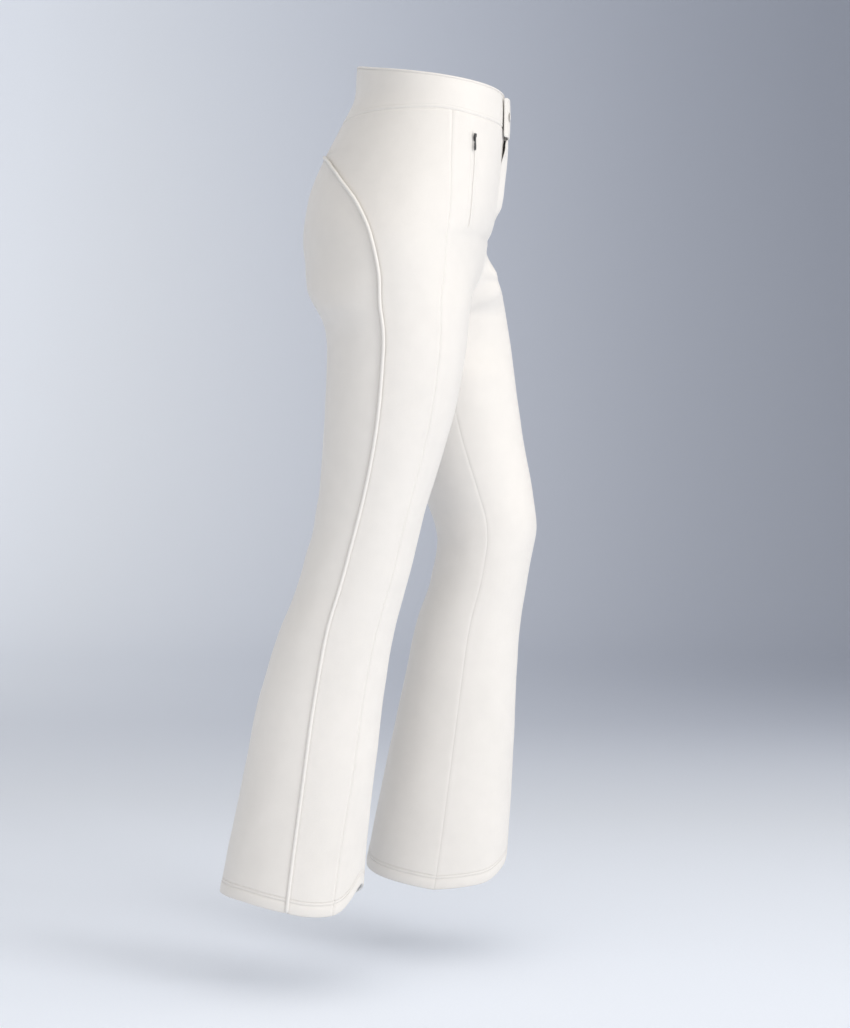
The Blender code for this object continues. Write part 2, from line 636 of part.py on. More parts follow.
def gaiter(side, mats, group):
    """The snow gaiter inside the leg, with a grip elastic round its foot."""
    stages = [(GAITER_TOP_Z, 0.0030), (-0.889, 0.0060), (-0.924, 0.0120), (GAITER_FOOT_Z, 0.0150)]
    grids = []
    for thickness in (0.0, 0.0008):
        grids.append([ring(side, lambda a, z=z: z, depth + thickness) for z, depth in stages])
    shell(f"{side}_gaiter", grids[0], grids[1], mats["lining"], group, closed=True)
    grids = []
    for depth in (0.0163, 0.0175):
        grids.append([ring(side, lambda a, z=z: z, depth) for z in (GAITER_FOOT_Z + 0.012, GAITER_FOOT_Z)])
    shell(f"{side}_gaiter_elastic", grids[0], grids[1], mats["elastic"], group, closed=True)


# ---- the whole garment ------------------------------------------------------------------------------------
def main():
    for obj in list(bpy.data.objects):
        bpy.data.objects.remove(obj)
    parts = collection("ski_pants")
    cutters = collection("cutters")
    mats = {
        "shell": material("softshell", (0.86, 0.84, 0.81), 0.75),
        "piping": material("piping", (0.90, 0.88, 0.85), 0.60),
        "lining": material("lining", (0.80, 0.80, 0.80), 0.80),
        "elastic": material("elastic", (0.30, 0.31, 0.33), 0.70),
        "ribbon": material("ribbon", (0.75, 0.75, 0.76), 0.60),
        "zip_tape": material("zip_tape", (0.70, 0.69, 0.67), 0.70),
        "metal": material("snap_metal", (0.60, 0.60, 0.62), 0.30, 1.0),
        "snap": material("snap_paint", (0.82, 0.80, 0.77), 0.40),
        "slider": material("slider_paint", (0.10, 0.10, 0.11), 0.40),
    }
    for side in SIDES:
        panels(side, mats, parts, cutters)
        side_piping(side, mats, parts)
        pocket(side, mats, parts)
        origin, down, out = pocket_run(side)
        slider(f"{side}_pocket_slider", origin, down, out, mats["slider"], mats["slider"], parts)
        hem(side, mats, parts)
        gaiter(side, mats, parts)
    waist(mats, parts)
    fly(mats, parts)
    top = on_front(0, FLY_RUN[0]) + FLY_OUT * 0.0003
    slider("fly_slider", top, FLY_DOWN, FLY_OUT, mats["slider"], mats["slider"], parts)
    waist_tab(mats, parts)


main()
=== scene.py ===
import math

import bmesh
import bpy
import numpy as np
from mathutils import Matrix, Vector


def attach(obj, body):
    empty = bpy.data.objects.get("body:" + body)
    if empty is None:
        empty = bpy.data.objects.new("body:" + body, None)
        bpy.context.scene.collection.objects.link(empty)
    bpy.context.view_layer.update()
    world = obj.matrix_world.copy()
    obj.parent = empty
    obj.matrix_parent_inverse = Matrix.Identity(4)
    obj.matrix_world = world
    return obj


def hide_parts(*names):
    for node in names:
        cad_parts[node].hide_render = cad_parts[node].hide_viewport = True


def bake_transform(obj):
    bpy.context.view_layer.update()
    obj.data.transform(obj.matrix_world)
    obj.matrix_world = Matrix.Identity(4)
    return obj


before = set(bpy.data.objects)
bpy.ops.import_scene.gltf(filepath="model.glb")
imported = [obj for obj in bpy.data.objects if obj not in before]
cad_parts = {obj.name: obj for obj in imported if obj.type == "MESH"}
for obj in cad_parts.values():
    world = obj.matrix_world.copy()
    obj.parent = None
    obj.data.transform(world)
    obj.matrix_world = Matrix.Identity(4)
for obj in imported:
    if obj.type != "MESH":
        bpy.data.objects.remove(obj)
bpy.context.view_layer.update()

# ---- the garment's surface -----------------------------------------------------------------------
# Its curves are the CAD's, but here the fork parts more gently just above the crotch.
FABRIC = 0.0012
LAYER_GAP = 0.0004
ZIP_DEPTH = FABRIC + 0.0011
TAPE = 0.0006
CROTCH_Z = -0.290
FORK_TOP_Z = -0.200
CROTCH_FORWARD = -0.030
CROTCH_REACH = 0.0835  # from the middle to the line over which the fork turns under
PART_POWER = 1.7  # how gently the fork starts to part
FREE_BELOW = 0.08  # how far below the crotch a ring is free of the rise seam
CREASE = (20, 28)  # the least and the most degrees that the crease beside the fork takes up
CLEAR_OF_MIDDLE = 0.00004  # how far each half keeps from the middle
CLOTH_PER_DEGREE = 0.0013  # metres of cloth to a degree, round a leg
WAIST_PER_DEGREE = 0.0022  # and round the waist
POCKET_RADIUS = 0.118  # of the hip beside a pocket
RISE_FRONT, RISE_BACK = 0.0668, -0.1580
FLY_TOP_Z, FLY_BOTTOM_Z = -0.0668, -0.150
FLY_RUN = (-0.0748, -0.1408)  # the top of the fly's slider closed, and its foot fully down
FLAP_TOP_Z, FLAP_FOOT_Z, FLAP_ROOT, FLAP_END = -0.0765, -0.172, 0.0135, -0.029
TAB_TOP_Z, TAB_FOOT_Z, TAB_ROOT, TAB_END = -0.0273, -0.0744, 0.0230, -0.034
PIPING_RADIUS = 0.0020
SNAP = (-0.0245, -0.0500)
HEM_DEPTH = 0.018  # how far up the hem's facing reaches
GAITER_TOP_Z, GAITER_FOOT_Z = -0.864, -0.956
POCKET_TOP_Z, POCKET_FOOT_Z = -0.0745, -0.190
POCKET_RUN = (-0.0775, -0.175, -0.125)
BAND_ROW_Z, YOKE_ROW_Z, HEM_ROW_Z = -0.0563, -0.0957, -0.990

SIDES = {"right": -1.0, "left": 1.0}
TORSO_FRONT = [(0.020, 0.0858), (-0.022, 0.0875), (-0.066, 0.0872), (-0.100, 0.0856), (-0.130, 0.0825),
               (-0.150, 0.0803), (-0.165, 0.0780), (-0.180, 0.0745), (-0.190, 0.0712), (-0.198, 0.0670)]
TORSO_BACK = [(0.020, -0.0915), (0.000, -0.0925), (-0.020, -0.0938), (-0.032, -0.0970), (-0.050, -0.1062),
              (-0.075, -0.1195), (-0.0987, -0.1320), (-0.128, -0.1450), (-0.150, -0.1520), (-0.198, -0.1580)]
LEG_FRONT = {
    "right": [(-0.235, 0.057), (-0.273, 0.046), (-0.336, 0.039), (-0.400, 0.0275), (-0.465, 0.0095),
              (-0.523, -0.0085), (-0.600, -0.0275), (-0.667, -0.0455), (-0.740, -0.0580), (-0.812, -0.0665),
              (-0.921, -0.0795), (-1.010, -0.0855)],
    "left": [(-0.241, 0.0800), (-0.264, 0.0880), (-0.290, 0.0938), (-0.345, 0.1020), (-0.395, 0.1085),
             (-0.450, 0.1170), (-0.507, 0.1275), (-0.553, 0.1325), (-0.600, 0.1252), (-0.675, 0.1130),
             (-0.740, 0.1080), (-0.830, 0.1045), (-0.930, 0.0995), (-1.010, 0.0925)],
}
LEG_BACK = {
    "right": [(-0.257, -0.1512), (-0.278, -0.1435), (-0.297, -0.1318), (-0.312, -0.1272), (-0.340, -0.1262),
              (-0.400, -0.1285), (-0.465, -0.1325), (-0.523, -0.1385), (-0.572, -0.1500), (-0.619, -0.1640),
              (-0.667, -0.1835), (-0.715, -0.1990), (-0.763, -0.2125), (-0.812, -0.2220), (-0.860, -0.2315),
              (-0.921, -0.2445), (-1.010, -0.2620)],
    "left": [(-0.257, -0.1485), (-0.300, -0.118), (-0.342, -0.086), (-0.393, -0.059), (-0.444, -0.041),
             (-0.510, -0.0125), (-0.535, -0.001), (-0.560, 0.005), (-0.583, 0.0055), (-0.622, -0.0015),
             (-0.674, -0.0195), (-0.751, -0.036), (-0.867, -0.061), (-1.010, -0.0895)],
}
TORSO_MIDDLE = [(0.020, 0.0), (-0.020, 0.0), (-0.050, -0.005), (-0.100, -0.018), (-0.150, -0.031),
                (-0.200, -0.043), (-0.260, -0.045)]
OUTER = [(0.020, 0.1125), (-0.010, 0.1155), (-0.050, 0.124), (-0.190, 0.1645), (-0.230, 0.1690),
         (-0.290, 0.1670), (-0.400, 0.1620), (-0.540, 0.1510), (-0.700, 0.1490), (-0.850, 0.1530),
         (-1.010, 0.1594)]
INNER = [(-0.290, 0.0), (-0.355, 0.006), (-0.465, 0.018), (-0.540, 0.027), (-0.650, 0.029),
         (-0.800, 0.027), (-1.010, 0.0205)]
BAND_TOP = [(-180, -0.0223), (-90, -0.0223), (-45, -0.0165), (0, -0.008), (45, 0.0025), (90, 0.0134),
            (180, 0.0134)]
BAND_FOOT = [(-180, -0.0640), (-90, -0.0640), (-45, -0.0580), (-10, -0.0503), (15, -0.0500), (45, -0.0508),
             (70, -0.0552), (90, -0.0590), (180, -0.0590)]
HEM_EDGE = [(-180, -1.007), (-155, -1.005), (-132, -1.0015), (-112, -0.990), (-92, -0.9785), (-80, -0.9715),
            (-68, -0.9750), (-57, -0.9870), (-46, -0.9980), (-34, -1.0015), (-14, -0.9995), (2, -0.9945),
            (24, -0.9880), (45, -0.9835), (86, -0.9830), (101, -0.9885), (134, -0.9960), (150, -0.9995),
            (168, -1.004), (180, -1.007)]
FRONT_SEAM = [(-0.040, -16), (-0.110, -23.5), (-0.167, -29.5), (-0.260, -37), (-0.360, -39), (-0.480, -42),
              (-0.820, -43), (-1.010, -37)]
SIDE_SEAM = [(-0.0945, 90), (-0.1052, 66.5), (-0.1204, 51), (-0.134, 41.5), (-0.152, 31), (-0.175, 21.5),
             (-0.1985, 14.7), (-0.230, 10.3), (-0.265, 8.6), (-0.310, 9.6), (-0.360, 9.4), (-0.405, 8.7),
             (-0.450, 8.7), (-0.495, 9.6), (-0.545, 11.2), (-0.600, 11.7), (-0.637, 11.0), (-0.670, 8.8),
             (-0.707, 6.5), (-0.754, 4.4), (-0.810, 3.4), (-0.860, 2.3), (-0.920, 1.0), (-1.010, 0.3)]
POCKET_SEAM = [(-0.060, -34), (-0.100, -40), (-0.153, -44), (-0.200, -48)]

# Soft folds: (angle, height) at both ends, how wide and how high, in metres.
FOLDS = {
    "right": [(58, -0.268, 112, -0.292, 0.011, -0.0012), (40, -0.300, 100, -0.318, 0.013, 0.0006),
              (50, -0.505, 118, -0.538, 0.012, 0.0007), (62, -0.548, 130, -0.560, 0.011, -0.0006),
              (46, -0.600, 104, -0.572, 0.014, 0.0006), (-98, -0.262, -58, -0.205, 0.009, 0.0007),
              (-112, -0.290, -74, -0.232, 0.008, -0.0006), (80, -0.200, 40, -0.228, 0.020, 0.0006),
              (30, -0.840, 60, -0.935, 0.020, 0.0008), (-70, -0.850, -95, -0.950, 0.018, 0.0008)],
    "left": [(58, -0.272, 112, -0.296, 0.011, -0.0012), (48, -0.318, 118, -0.336, 0.013, 0.0006),
             (60, -0.520, 140, -0.556, 0.011, 0.0008), (70, -0.566, 150, -0.580, 0.010, -0.0007),
             (52, -0.628, 120, -0.596, 0.013, 0.0008), (-92, -0.560, -40, -0.590, 0.014, 0.0006),
             (-98, -0.262, -58, -0.205, 0.009, 0.0007), (80, -0.200, 40, -0.228, 0.020, 0.0006),
             (34, -0.850, 62, -0.940, 0.020, 0.0008), (150, -0.860, 120, -0.950, 0.018, 0.0008)],
}


def through(points, at):
    """A smooth curve through points (place, value), held level past its ends."""
    x, y = np.array(sorted(points), float).T
    each = np.arange(len(x))
    low, high = np.maximum(each - 1, 0), np.minimum(each + 1, len(x) - 1)
    slope = (y[high] - y[low]) / (x[high] - x[low])
    at = np.clip(at, x[0], x[-1])
    k = np.clip(np.searchsorted(x, at) - 1, 0, len(x) - 2)
    h = x[k + 1] - x[k]
    t = (at - x[k]) / h
    value = (2 * t**3 - 3 * t**2 + 1) * y[k] + (3 * t**2 - 2 * t**3) * y[k + 1]
    return value + h * ((t**3 - 2 * t**2 + t) * slope[k] + (t**3 - t**2) * slope[k + 1])


def ease(t):
    t = np.clip(t, 0.0, 1.0)
    return t * t * (3 - 2 * t)


def hump(d, width):
    return np.exp(-((d / width) ** 2))


def fork(z):
    return np.clip((FORK_TOP_Z - z) / (FORK_TOP_Z - CROTCH_Z), 0.0, 1.0)


def parted(z):
    """How far the legs have parted, from 0 at the top of the fork to 1 at the crotch, where it levels off."""
    return np.sin(math.pi / 2 * fork(z) ** PART_POWER)


def end_angle(z):
    """The angle at which a half meets the other one: 90 at the torso, and 180 round a whole leg."""
    return 90 + np.degrees(np.arcsin(parted(z)))


def front_and_back(side, z):
    return through(TORSO_FRONT + LEG_FRONT[side], z), through(TORSO_BACK + LEG_BACK[side], z)


def middle(side, z):
    leg = sum(front_and_back(side, z)) / 2
    torso = through(TORSO_MIDDLE, z)
    return torso + (leg - torso) * ease((-0.240 - z) / 0.095)


def on_half(side, angle, z):
    """Points on the outside of the plain garment."""
    angle, z = np.broadcast_arrays(np.asarray(angle, float), np.asarray(z, float))
    rad = np.radians(angle)
    out, inside, above = through(OUTER, z), through(INNER, z), z >= CROTCH_Z
    across = np.where(above, CROTCH_REACH * parted(z), (out + inside) / 2)
    inner = np.where(above, CROTCH_REACH, (out - inside) / 2)
    x = across + np.where(np.abs(angle) <= 90, out - across, inner) * np.cos(rad)
    centre = middle(side, z)
    depth = np.where(angle < 0, *front_and_back(side, z)) - centre
    forward = centre + depth * np.abs(np.sin(rad)) + drawn_in(angle, z, centre, depth)
    return np.stack([SIDES[side] * x, -forward, z], -1)


def drawn_in(angle, z, centre, depth):
    """How far a ring is drawn towards the shared rise seam, from which it goes free below the crotch."""
    last = end_angle(z)
    free = ease((CROTCH_Z - z) / FREE_BELOW)
    reach = np.where(angle < 0, RISE_FRONT, RISE_BACK) - CROTCH_FORWARD
    seam = CROTCH_FORWARD + reach * np.sqrt(1 - fork(z) ** 2)
    seam = seam + (centre - seam) * free
    shift = (CROTCH_FORWARD - centre) * ease(fork(z)) * (1 - free)
    crease = seam - centre - depth * np.abs(np.sin(np.radians(last))) - shift
    broad = np.minimum(90, last - 30)
    narrow = last - np.clip(last - 90, *CREASE)
    pulled = shift * ease((np.abs(angle) - broad) / (last - broad))
    pulled = pulled + crease * ease((np.abs(angle) - narrow) / (last - narrow))
    return pulled * ease((FORK_TOP_Z - z) / 0.006)


def outward(side, angle, z):
    """The direction out of the garment."""
    last = end_angle(z) - 0.5
    angle = np.clip(angle, -last, last)
    step = 0.6
    ahead, behind = np.minimum(angle + step, last), np.maximum(angle - step, -last)
    round_it = on_half(side, ahead, z) - on_half(side, behind, z)
    up = on_half(side, angle, z + 0.002) - on_half(side, angle, z - 0.002)
    n = np.cross(round_it, up) * SIDES[side]
    return n / np.linalg.norm(n, axis=-1, keepdims=True)


def folds(side, angle, z):
    """How far the cloth stands out of the plain garment, in soft folds and slight unevenness."""
    angle, z = np.broadcast_arrays(np.asarray(angle, float), np.asarray(z, float))
    total = np.zeros(angle.shape)
    for a0, z0, a1, z1, width, height in FOLDS[side]:
        along, up = (a1 - a0) * CLOTH_PER_DEGREE, z1 - z0
        length2 = along * along + up * up
        run = (angle - a0) * CLOTH_PER_DEGREE
        t = np.clip((run * along + (z - z0) * up) / length2, 0, 1)
        away = np.hypot(run - along * t, z - z0 - up * t)
        total += height * hump(away, width)
    turn = np.radians(angle)
    total += 0.00022 * np.sin(3 * turn + 31 * z + 0.7) * np.sin(47 * z + 1.3)
    total += 0.00014 * np.sin(7 * turn - 58 * z) * np.sin(83 * z + 2 * turn)
    near_centre = ease((np.abs(angle) - end_angle(z) + 14) / 14)  # both halves agree at their shared seam
    calm_waist = ease((-0.085 - z) / 0.05)
    return total * (1 - near_centre) * calm_waist


def skin(side, angle, z, depth):
    """Points of the worn garment, depth inside its outer face, kept on their own side of the middle."""
    lift = (folds(side, angle, z) - depth)[..., None]
    p = on_half(side, angle, z) + outward(side, angle, z) * lift
    p[..., 0] = SIDES[side] * np.maximum(SIDES[side] * p[..., 0], CLEAR_OF_MIDDLE)
    return p


def face_line(side, angle, z, depth):
    """Points on the cloth, depth inside its outer face, and the ways out there."""
    return skin(side, angle, z, np.full_like(z, depth)), outward(side, angle, z)


def hem_height(angle):
    return through(HEM_EDGE, angle)


def row_height(angle, z):
    """The height of a row at an angle: the top follows the waistband and the foot follows the hem."""
    top, foot = ease((z + 0.110) / 0.0537), ease((-0.870 - z) / 0.120)
    return z + (through(BAND_FOOT, angle) - BAND_ROW_Z) * top + (hem_height(angle) - HEM_ROW_Z) * foot


def metres_per_degree(side, angle, z):
    a, b = on_half(side, angle - 0.5, z), on_half(side, angle + 0.5, z)
    return np.linalg.norm(b - a, axis=-1)


# ---- meshes --------------------------------------------------------------------------------------
def finish_mesh(name, mesh, mats, body, nodes, sharp=60):
    """Puts a mesh in the scene as a piece, in place of CAD nodes. Without a body, it is left unattached."""
    for mat in mats:
        mesh.materials.append(mat)
    mesh.shade_smooth()
    mesh.set_sharp_from_angle(angle=math.radians(sharp))
    obj = bpy.data.objects.new(name, mesh)
    bpy.context.scene.collection.objects.link(obj)
    if body:
        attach(obj, body)
    if nodes:
        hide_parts(*nodes)
    return obj


def put_uv(mesh, uv):
    layer = mesh.uv_layers.new(name="cloth")
    corner = np.zeros(len(mesh.loops), int)
    mesh.loops.foreach_get("vertex_index", corner)
    layer.data.foreach_set("uv", uv.reshape(-1, 2)[corner].astype(np.float32).ravel())


def put_wear(mesh, wear):
    made = mesh.attributes.new("wear", "FLOAT", "POINT")
    made.data.foreach_set("value", wear.astype(np.float32).ravel())


def run_length(points, axis=0):
    """Distance along rows of points, from the first."""
    steps = np.linalg.norm(np.diff(points, axis=axis), axis=-1)
    start = np.zeros_like(np.take(steps, [0], axis=axis))
    return np.concatenate([start, np.cumsum(steps, axis=axis)], axis=axis)


def cloth(name, outer, inner, mats, body, slot, nodes, keep=None, wrap=False, wear=None, uv=None):
    """A closed piece of cloth between two grids of points. Cells left out of keep are open."""
    rows, columns = outer.shape[:2]
    count = rows * columns
    index = np.arange(count).reshape(rows, columns)
    cells = columns if wrap else columns - 1
    after = (np.arange(cells) + 1) % columns
    if keep is None:
        keep = np.ones((rows - 1, cells), bool)
    a, b, c, d = index[:-1, :cells], index[:-1][:, after], index[1:][:, after], index[1:, :cells]
    around = np.zeros((rows + 1, cells + 2), bool)
    around[1:rows, 1:cells + 1] = keep
    if wrap:
        around[:, 0], around[:, -1] = around[:, cells], around[:, 1]
    quads = [np.stack([a, b, c, d], -1)[keep]]
    quads.append(quads[0][:, ::-1] + count)
    edges = ((b, a, around[:rows - 1, 1:-1]), (d, c, around[2:, 1:-1]),
             (a, d, around[1:rows, :-2]), (c, b, around[1:rows, 2:]))
    for p, q, neighbour in edges:
        open_edge = keep & ~neighbour
        p, q = p[open_edge], q[open_edge]
        quads.append(np.stack([p, q, q + count, p + count], -1))
    faces = np.concatenate(quads)
    p = np.concatenate([outer.reshape(-1, 3), inner.reshape(-1, 3)])
    first = p[quads[0]]
    normal = np.cross(first[:, 2] - first[:, 0], first[:, 3] - first[:, 1])
    if (normal * (first.mean(1) - p[quads[0] + count].mean(1))).sum() < 0:
        faces = faces[:, ::-1]
    mesh = bpy.data.meshes.new(name)
    mesh.from_pydata(p.tolist(), [], faces.tolist())
    if uv is None:
        uv = np.stack([run_length(outer, 1), run_length(outer, 0)], -1)
    put_uv(mesh, np.stack([uv, uv]))
    if wear is None:
        wear = np.zeros((rows, columns))
    put_wear(mesh, np.stack([wear, wear]))
    which = np.zeros(len(faces), np.int32)
    if len(mats) > 1:
        which[len(quads[0]):2 * len(quads[0])] = 1
    mesh.polygons.foreach_set("material_index", which)
    return finish_mesh(name, mesh, mats, body, nodes)


def sheet(name, cad, grids, mats, slot, held, rests_on=(), wrap=False, body="garment", **more):
    """A piece of cloth, with the size and area of its cut worked out from the cloth's own lengths."""
    obj = cloth(name, *grids, mats, body, slot, [cad], wrap=wrap, **more)
    outer = grids[0]
    grid = np.concatenate([outer, outer[:, :1]], 1) if wrap else outer
    across, down = run_length(grid, 1)[:, -1].max(), run_length(grid, 0)[-1].max()
    diagonals = np.cross(grid[1:, 1:] - grid[:-1, :-1], grid[1:, :-1] - grid[:-1, 1:])
    area = np.linalg.norm(diagonals, axis=-1).sum() / 2
    size = (round(float(across), 3), round(float(down), 3))
    area = min(float(area), size[0] * size[1])
    return obj


def capsules(name, runs, mat, body, sides=6):
    """Many short rounded bars in one mesh: stitches, or the links of a zip. Each run is
    (starts, ends, ways up, radius, how far the middle arches up)."""
    along = np.array([0.0, 0.08, 0.28, 0.5, 0.72, 0.92, 1.0])
    girth = np.array([0.35, 0.82, 1.0, 1.0, 1.0, 0.82, 0.35])
    turn = np.arange(sides) * 2 * math.pi / sides
    verts, faces, base = [], [], 0
    for a, b, up, radius, arch in runs:
        axis = b - a
        ahead = axis / np.linalg.norm(axis, axis=-1, keepdims=True)
        beside = np.cross(ahead, up)
        beside /= np.linalg.norm(beside, axis=-1, keepdims=True)
        up = np.cross(beside, ahead)
        centre = a[:, None] + axis[:, None] * along[None, :, None]
        centre = centre + up[:, None] * (arch * (1 - (2 * along - 1) ** 2))[None, :, None]
        spoke = (np.cos(turn)[:, None] * beside[:, None] + np.sin(turn)[:, None] * up[:, None])
        ring = centre[:, :, None] + radius * girth[None, :, None, None] * spoke[:, None]
        verts.append(ring.reshape(-1, 3))
        per = len(along) * sides
        starts = base + np.arange(len(a)) * per
        k, j = np.meshgrid(np.arange(len(along) - 1), np.arange(sides), indexing="ij")
        nxt = (j + 1) % sides
        quad = np.stack([k * sides + j, k * sides + nxt, (k + 1) * sides + nxt, (k + 1) * sides + j], -1)
        faces += (starts[:, None, None] + quad.reshape(-1, 4)[None]).reshape(-1, 4).tolist()
        cap = np.arange(sides)
        faces += (starts[:, None] + cap[::-1][None]).tolist()
        faces += (starts[:, None] + (per - sides + cap)[None]).tolist()
        base += len(a) * per
    mesh = bpy.data.meshes.new(name)
    mesh.from_pydata(np.concatenate(verts).tolist(), [], faces)
    return finish_mesh(name, mesh, [mat], body, (), sharp=80)


STITCH_SHARE = 0.80  # of a stitch's pitch that its thread takes up
STITCH_RADIUS, STITCH_ARCH, STITCH_SINK = 0.00023, 0.00012, 0.00012


def sewn(points, normals, pitch=0.0030):
    """A line of stitches along points on the cloth."""
    run = run_length(points)
    count = max(int(run[-1] / pitch), 1)
    start = (np.arange(count) + 0.5 * (1 - STITCH_SHARE)) * run[-1] / count
    stop = start + STITCH_SHARE * run[-1] / count

    def at(d, what):
        return np.stack([np.interp(d, run, what[:, k]) for k in range(3)], -1)

    up = at((start + stop) / 2, normals)
    up /= np.linalg.norm(up, axis=-1, keepdims=True)
    sink = up * STITCH_SINK
    return at(start, points) - sink, at(stop, points) - sink, up, STITCH_RADIUS, STITCH_ARCH


def stitching(name, runs, body="garment"):
    capsules(name + "_stitching", runs, MATS["thread"], body)


def swept(name, centre, out, section, scale, mats, body, nodes):
    """A closed section, as (beside, out) points in metres, swept along a line."""
    ahead = np.gradient(centre, axis=0)
    ahead /= np.linalg.norm(ahead, axis=-1, keepdims=True)
    beside = np.cross(ahead, out)
    beside /= np.linalg.norm(beside, axis=-1, keepdims=True)
    up = np.cross(beside, ahead)
    section = np.asarray(section)
    ring = centre[:, None] + scale[:, None, None] * (
        section[None, :, :1] * beside[:, None] + section[None, :, 1:] * up[:, None])
    rows, columns = ring.shape[:2]
    index = np.arange(rows * columns).reshape(rows, columns)
    nxt = np.roll(index, -1, axis=1)
    faces = np.stack([index[:-1], nxt[:-1], nxt[1:], index[1:]], -1).reshape(-1, 4).tolist()
    faces += [index[0][::-1].tolist(), index[-1].tolist()]
    mesh = bpy.data.meshes.new(name)
    mesh.from_pydata(ring.reshape(-1, 3).tolist(), [], faces)
    bm = bmesh.new()
    bm.from_mesh(mesh)
    bmesh.ops.recalc_face_normals(bm, faces=bm.faces)
    bm.to_mesh(mesh)
    bm.free()
    length = np.repeat(run_length(centre)[:, None], columns, 1)
    girth = run_length(np.concatenate([section, section[:1]]))[:columns]
    put_uv(mesh, np.stack([np.broadcast_to(girth, length.shape), length], -1))
    put_wear(mesh, np.zeros(rows * columns))
    return finish_mesh(name, mesh, mats, body, nodes)


def turned(name, profile, place, mat, body, nodes):
    """A round piece: a profile of (radius, height) turned about its frame's Z."""
    steps = 40
    verts, faces, rings = [], [], []
    for r, h in profile:
        if r < 1e-6:
            rings.append([len(verts)])
            verts.append((0, 0, h))
        else:
            rings.append(list(range(len(verts), len(verts) + steps)))
            turns = [2 * math.pi * k / steps for k in range(steps)]
            verts += [(r * math.cos(t), r * math.sin(t), h) for t in turns]
    for lower, upper in zip(rings, rings[1:]):
        for k in range(steps):
            m = (k + 1) % steps
            low, high = [lower[i % len(lower)] for i in (k, m)], [upper[i % len(upper)] for i in (m, k)]
            faces.append(list(dict.fromkeys(low + high)))
    bm = bmesh.new()
    made = [bm.verts.new(place @ Vector(v)) for v in verts]
    for f in faces:
        bm.faces.new([made[i] for i in f])
    bmesh.ops.recalc_face_normals(bm, faces=bm.faces)
    mesh = bpy.data.meshes.new(name)
    bm.to_mesh(mesh)
    bm.free()
    return finish_mesh(name, mesh, [mat], body, nodes, sharp=35)


# ---- materials -----------------------------------------------------------------------------------
def node(tree, kind, inputs=None, **settings):
    made = tree.nodes.new("ShaderNode" + kind)
    for key, value in settings.items():
        setattr(made, key, value)
    for key, value in (inputs or {}).items():
        if isinstance(value, bpy.types.NodeSocket):
            tree.links.new(value, made.inputs[key])
        else:
            made.inputs[key].default_value = value
    return made


def sum_of(tree, operation, a, b):
    return node(tree, "Math", {0: a, 1: b}, operation=operation).outputs[0]


def begin(name, **own):
    """A material, its shader with what is the same all over, and its node tree."""
    mat = bpy.data.materials.new(name)
    mat.use_nodes = True
    shader = mat.node_tree.nodes["Principled BSDF"]
    for key, value in own.items():
        shader.inputs[key.replace("_", " ")].default_value = value
    return mat, shader, mat.node_tree


def join(tree, shader, **outputs):
    """Links outputs to the shader's inputs of those names."""
    for key, output in outputs.items():
        tree.links.new(output, shader.inputs[key.replace("_", " ")])


def noise(tree, vector, scale, detail):
    made = node(tree, "TexNoise", {"Vector": vector, "Scale": scale, "Detail": detail, "Roughness": 0.5})
    return made.outputs["Fac"]


def between(tree, factor, low, high, at=(0.3, 0.7)):
    """A number that goes from low to high as the factor goes between the two places."""
    places = {"From Min": at[0], "From Max": at[1], "To Min": low, "To Max": high}
    return node(tree, "MapRange", {"Value": factor, **places}).outputs[0]


def mixed(tree, factor, a, b, blend="MIX"):
    made = node(tree, "Mix", data_type="RGBA", blend_type=blend)
    for socket, value in ((made.inputs[0], factor), (made.inputs[6], a), (made.inputs[7], b)):
        if isinstance(value, bpy.types.NodeSocket):
            tree.links.new(value, socket)
        else:
            socket.default_value = value
    return made.outputs[2]


def clouded(tree, factor, colour, shade):
    """The colour, going over to its shade where the factor is high."""
    return mixed(tree, between(tree, factor, 0.0, 1.0), (*colour, 1), (*shade, 1))


def bump(tree, height, strength, distance, **under):
    made = node(tree, "Bump", {"Height": height, "Strength": strength, "Distance": distance, **under})
    return made.outputs[0]


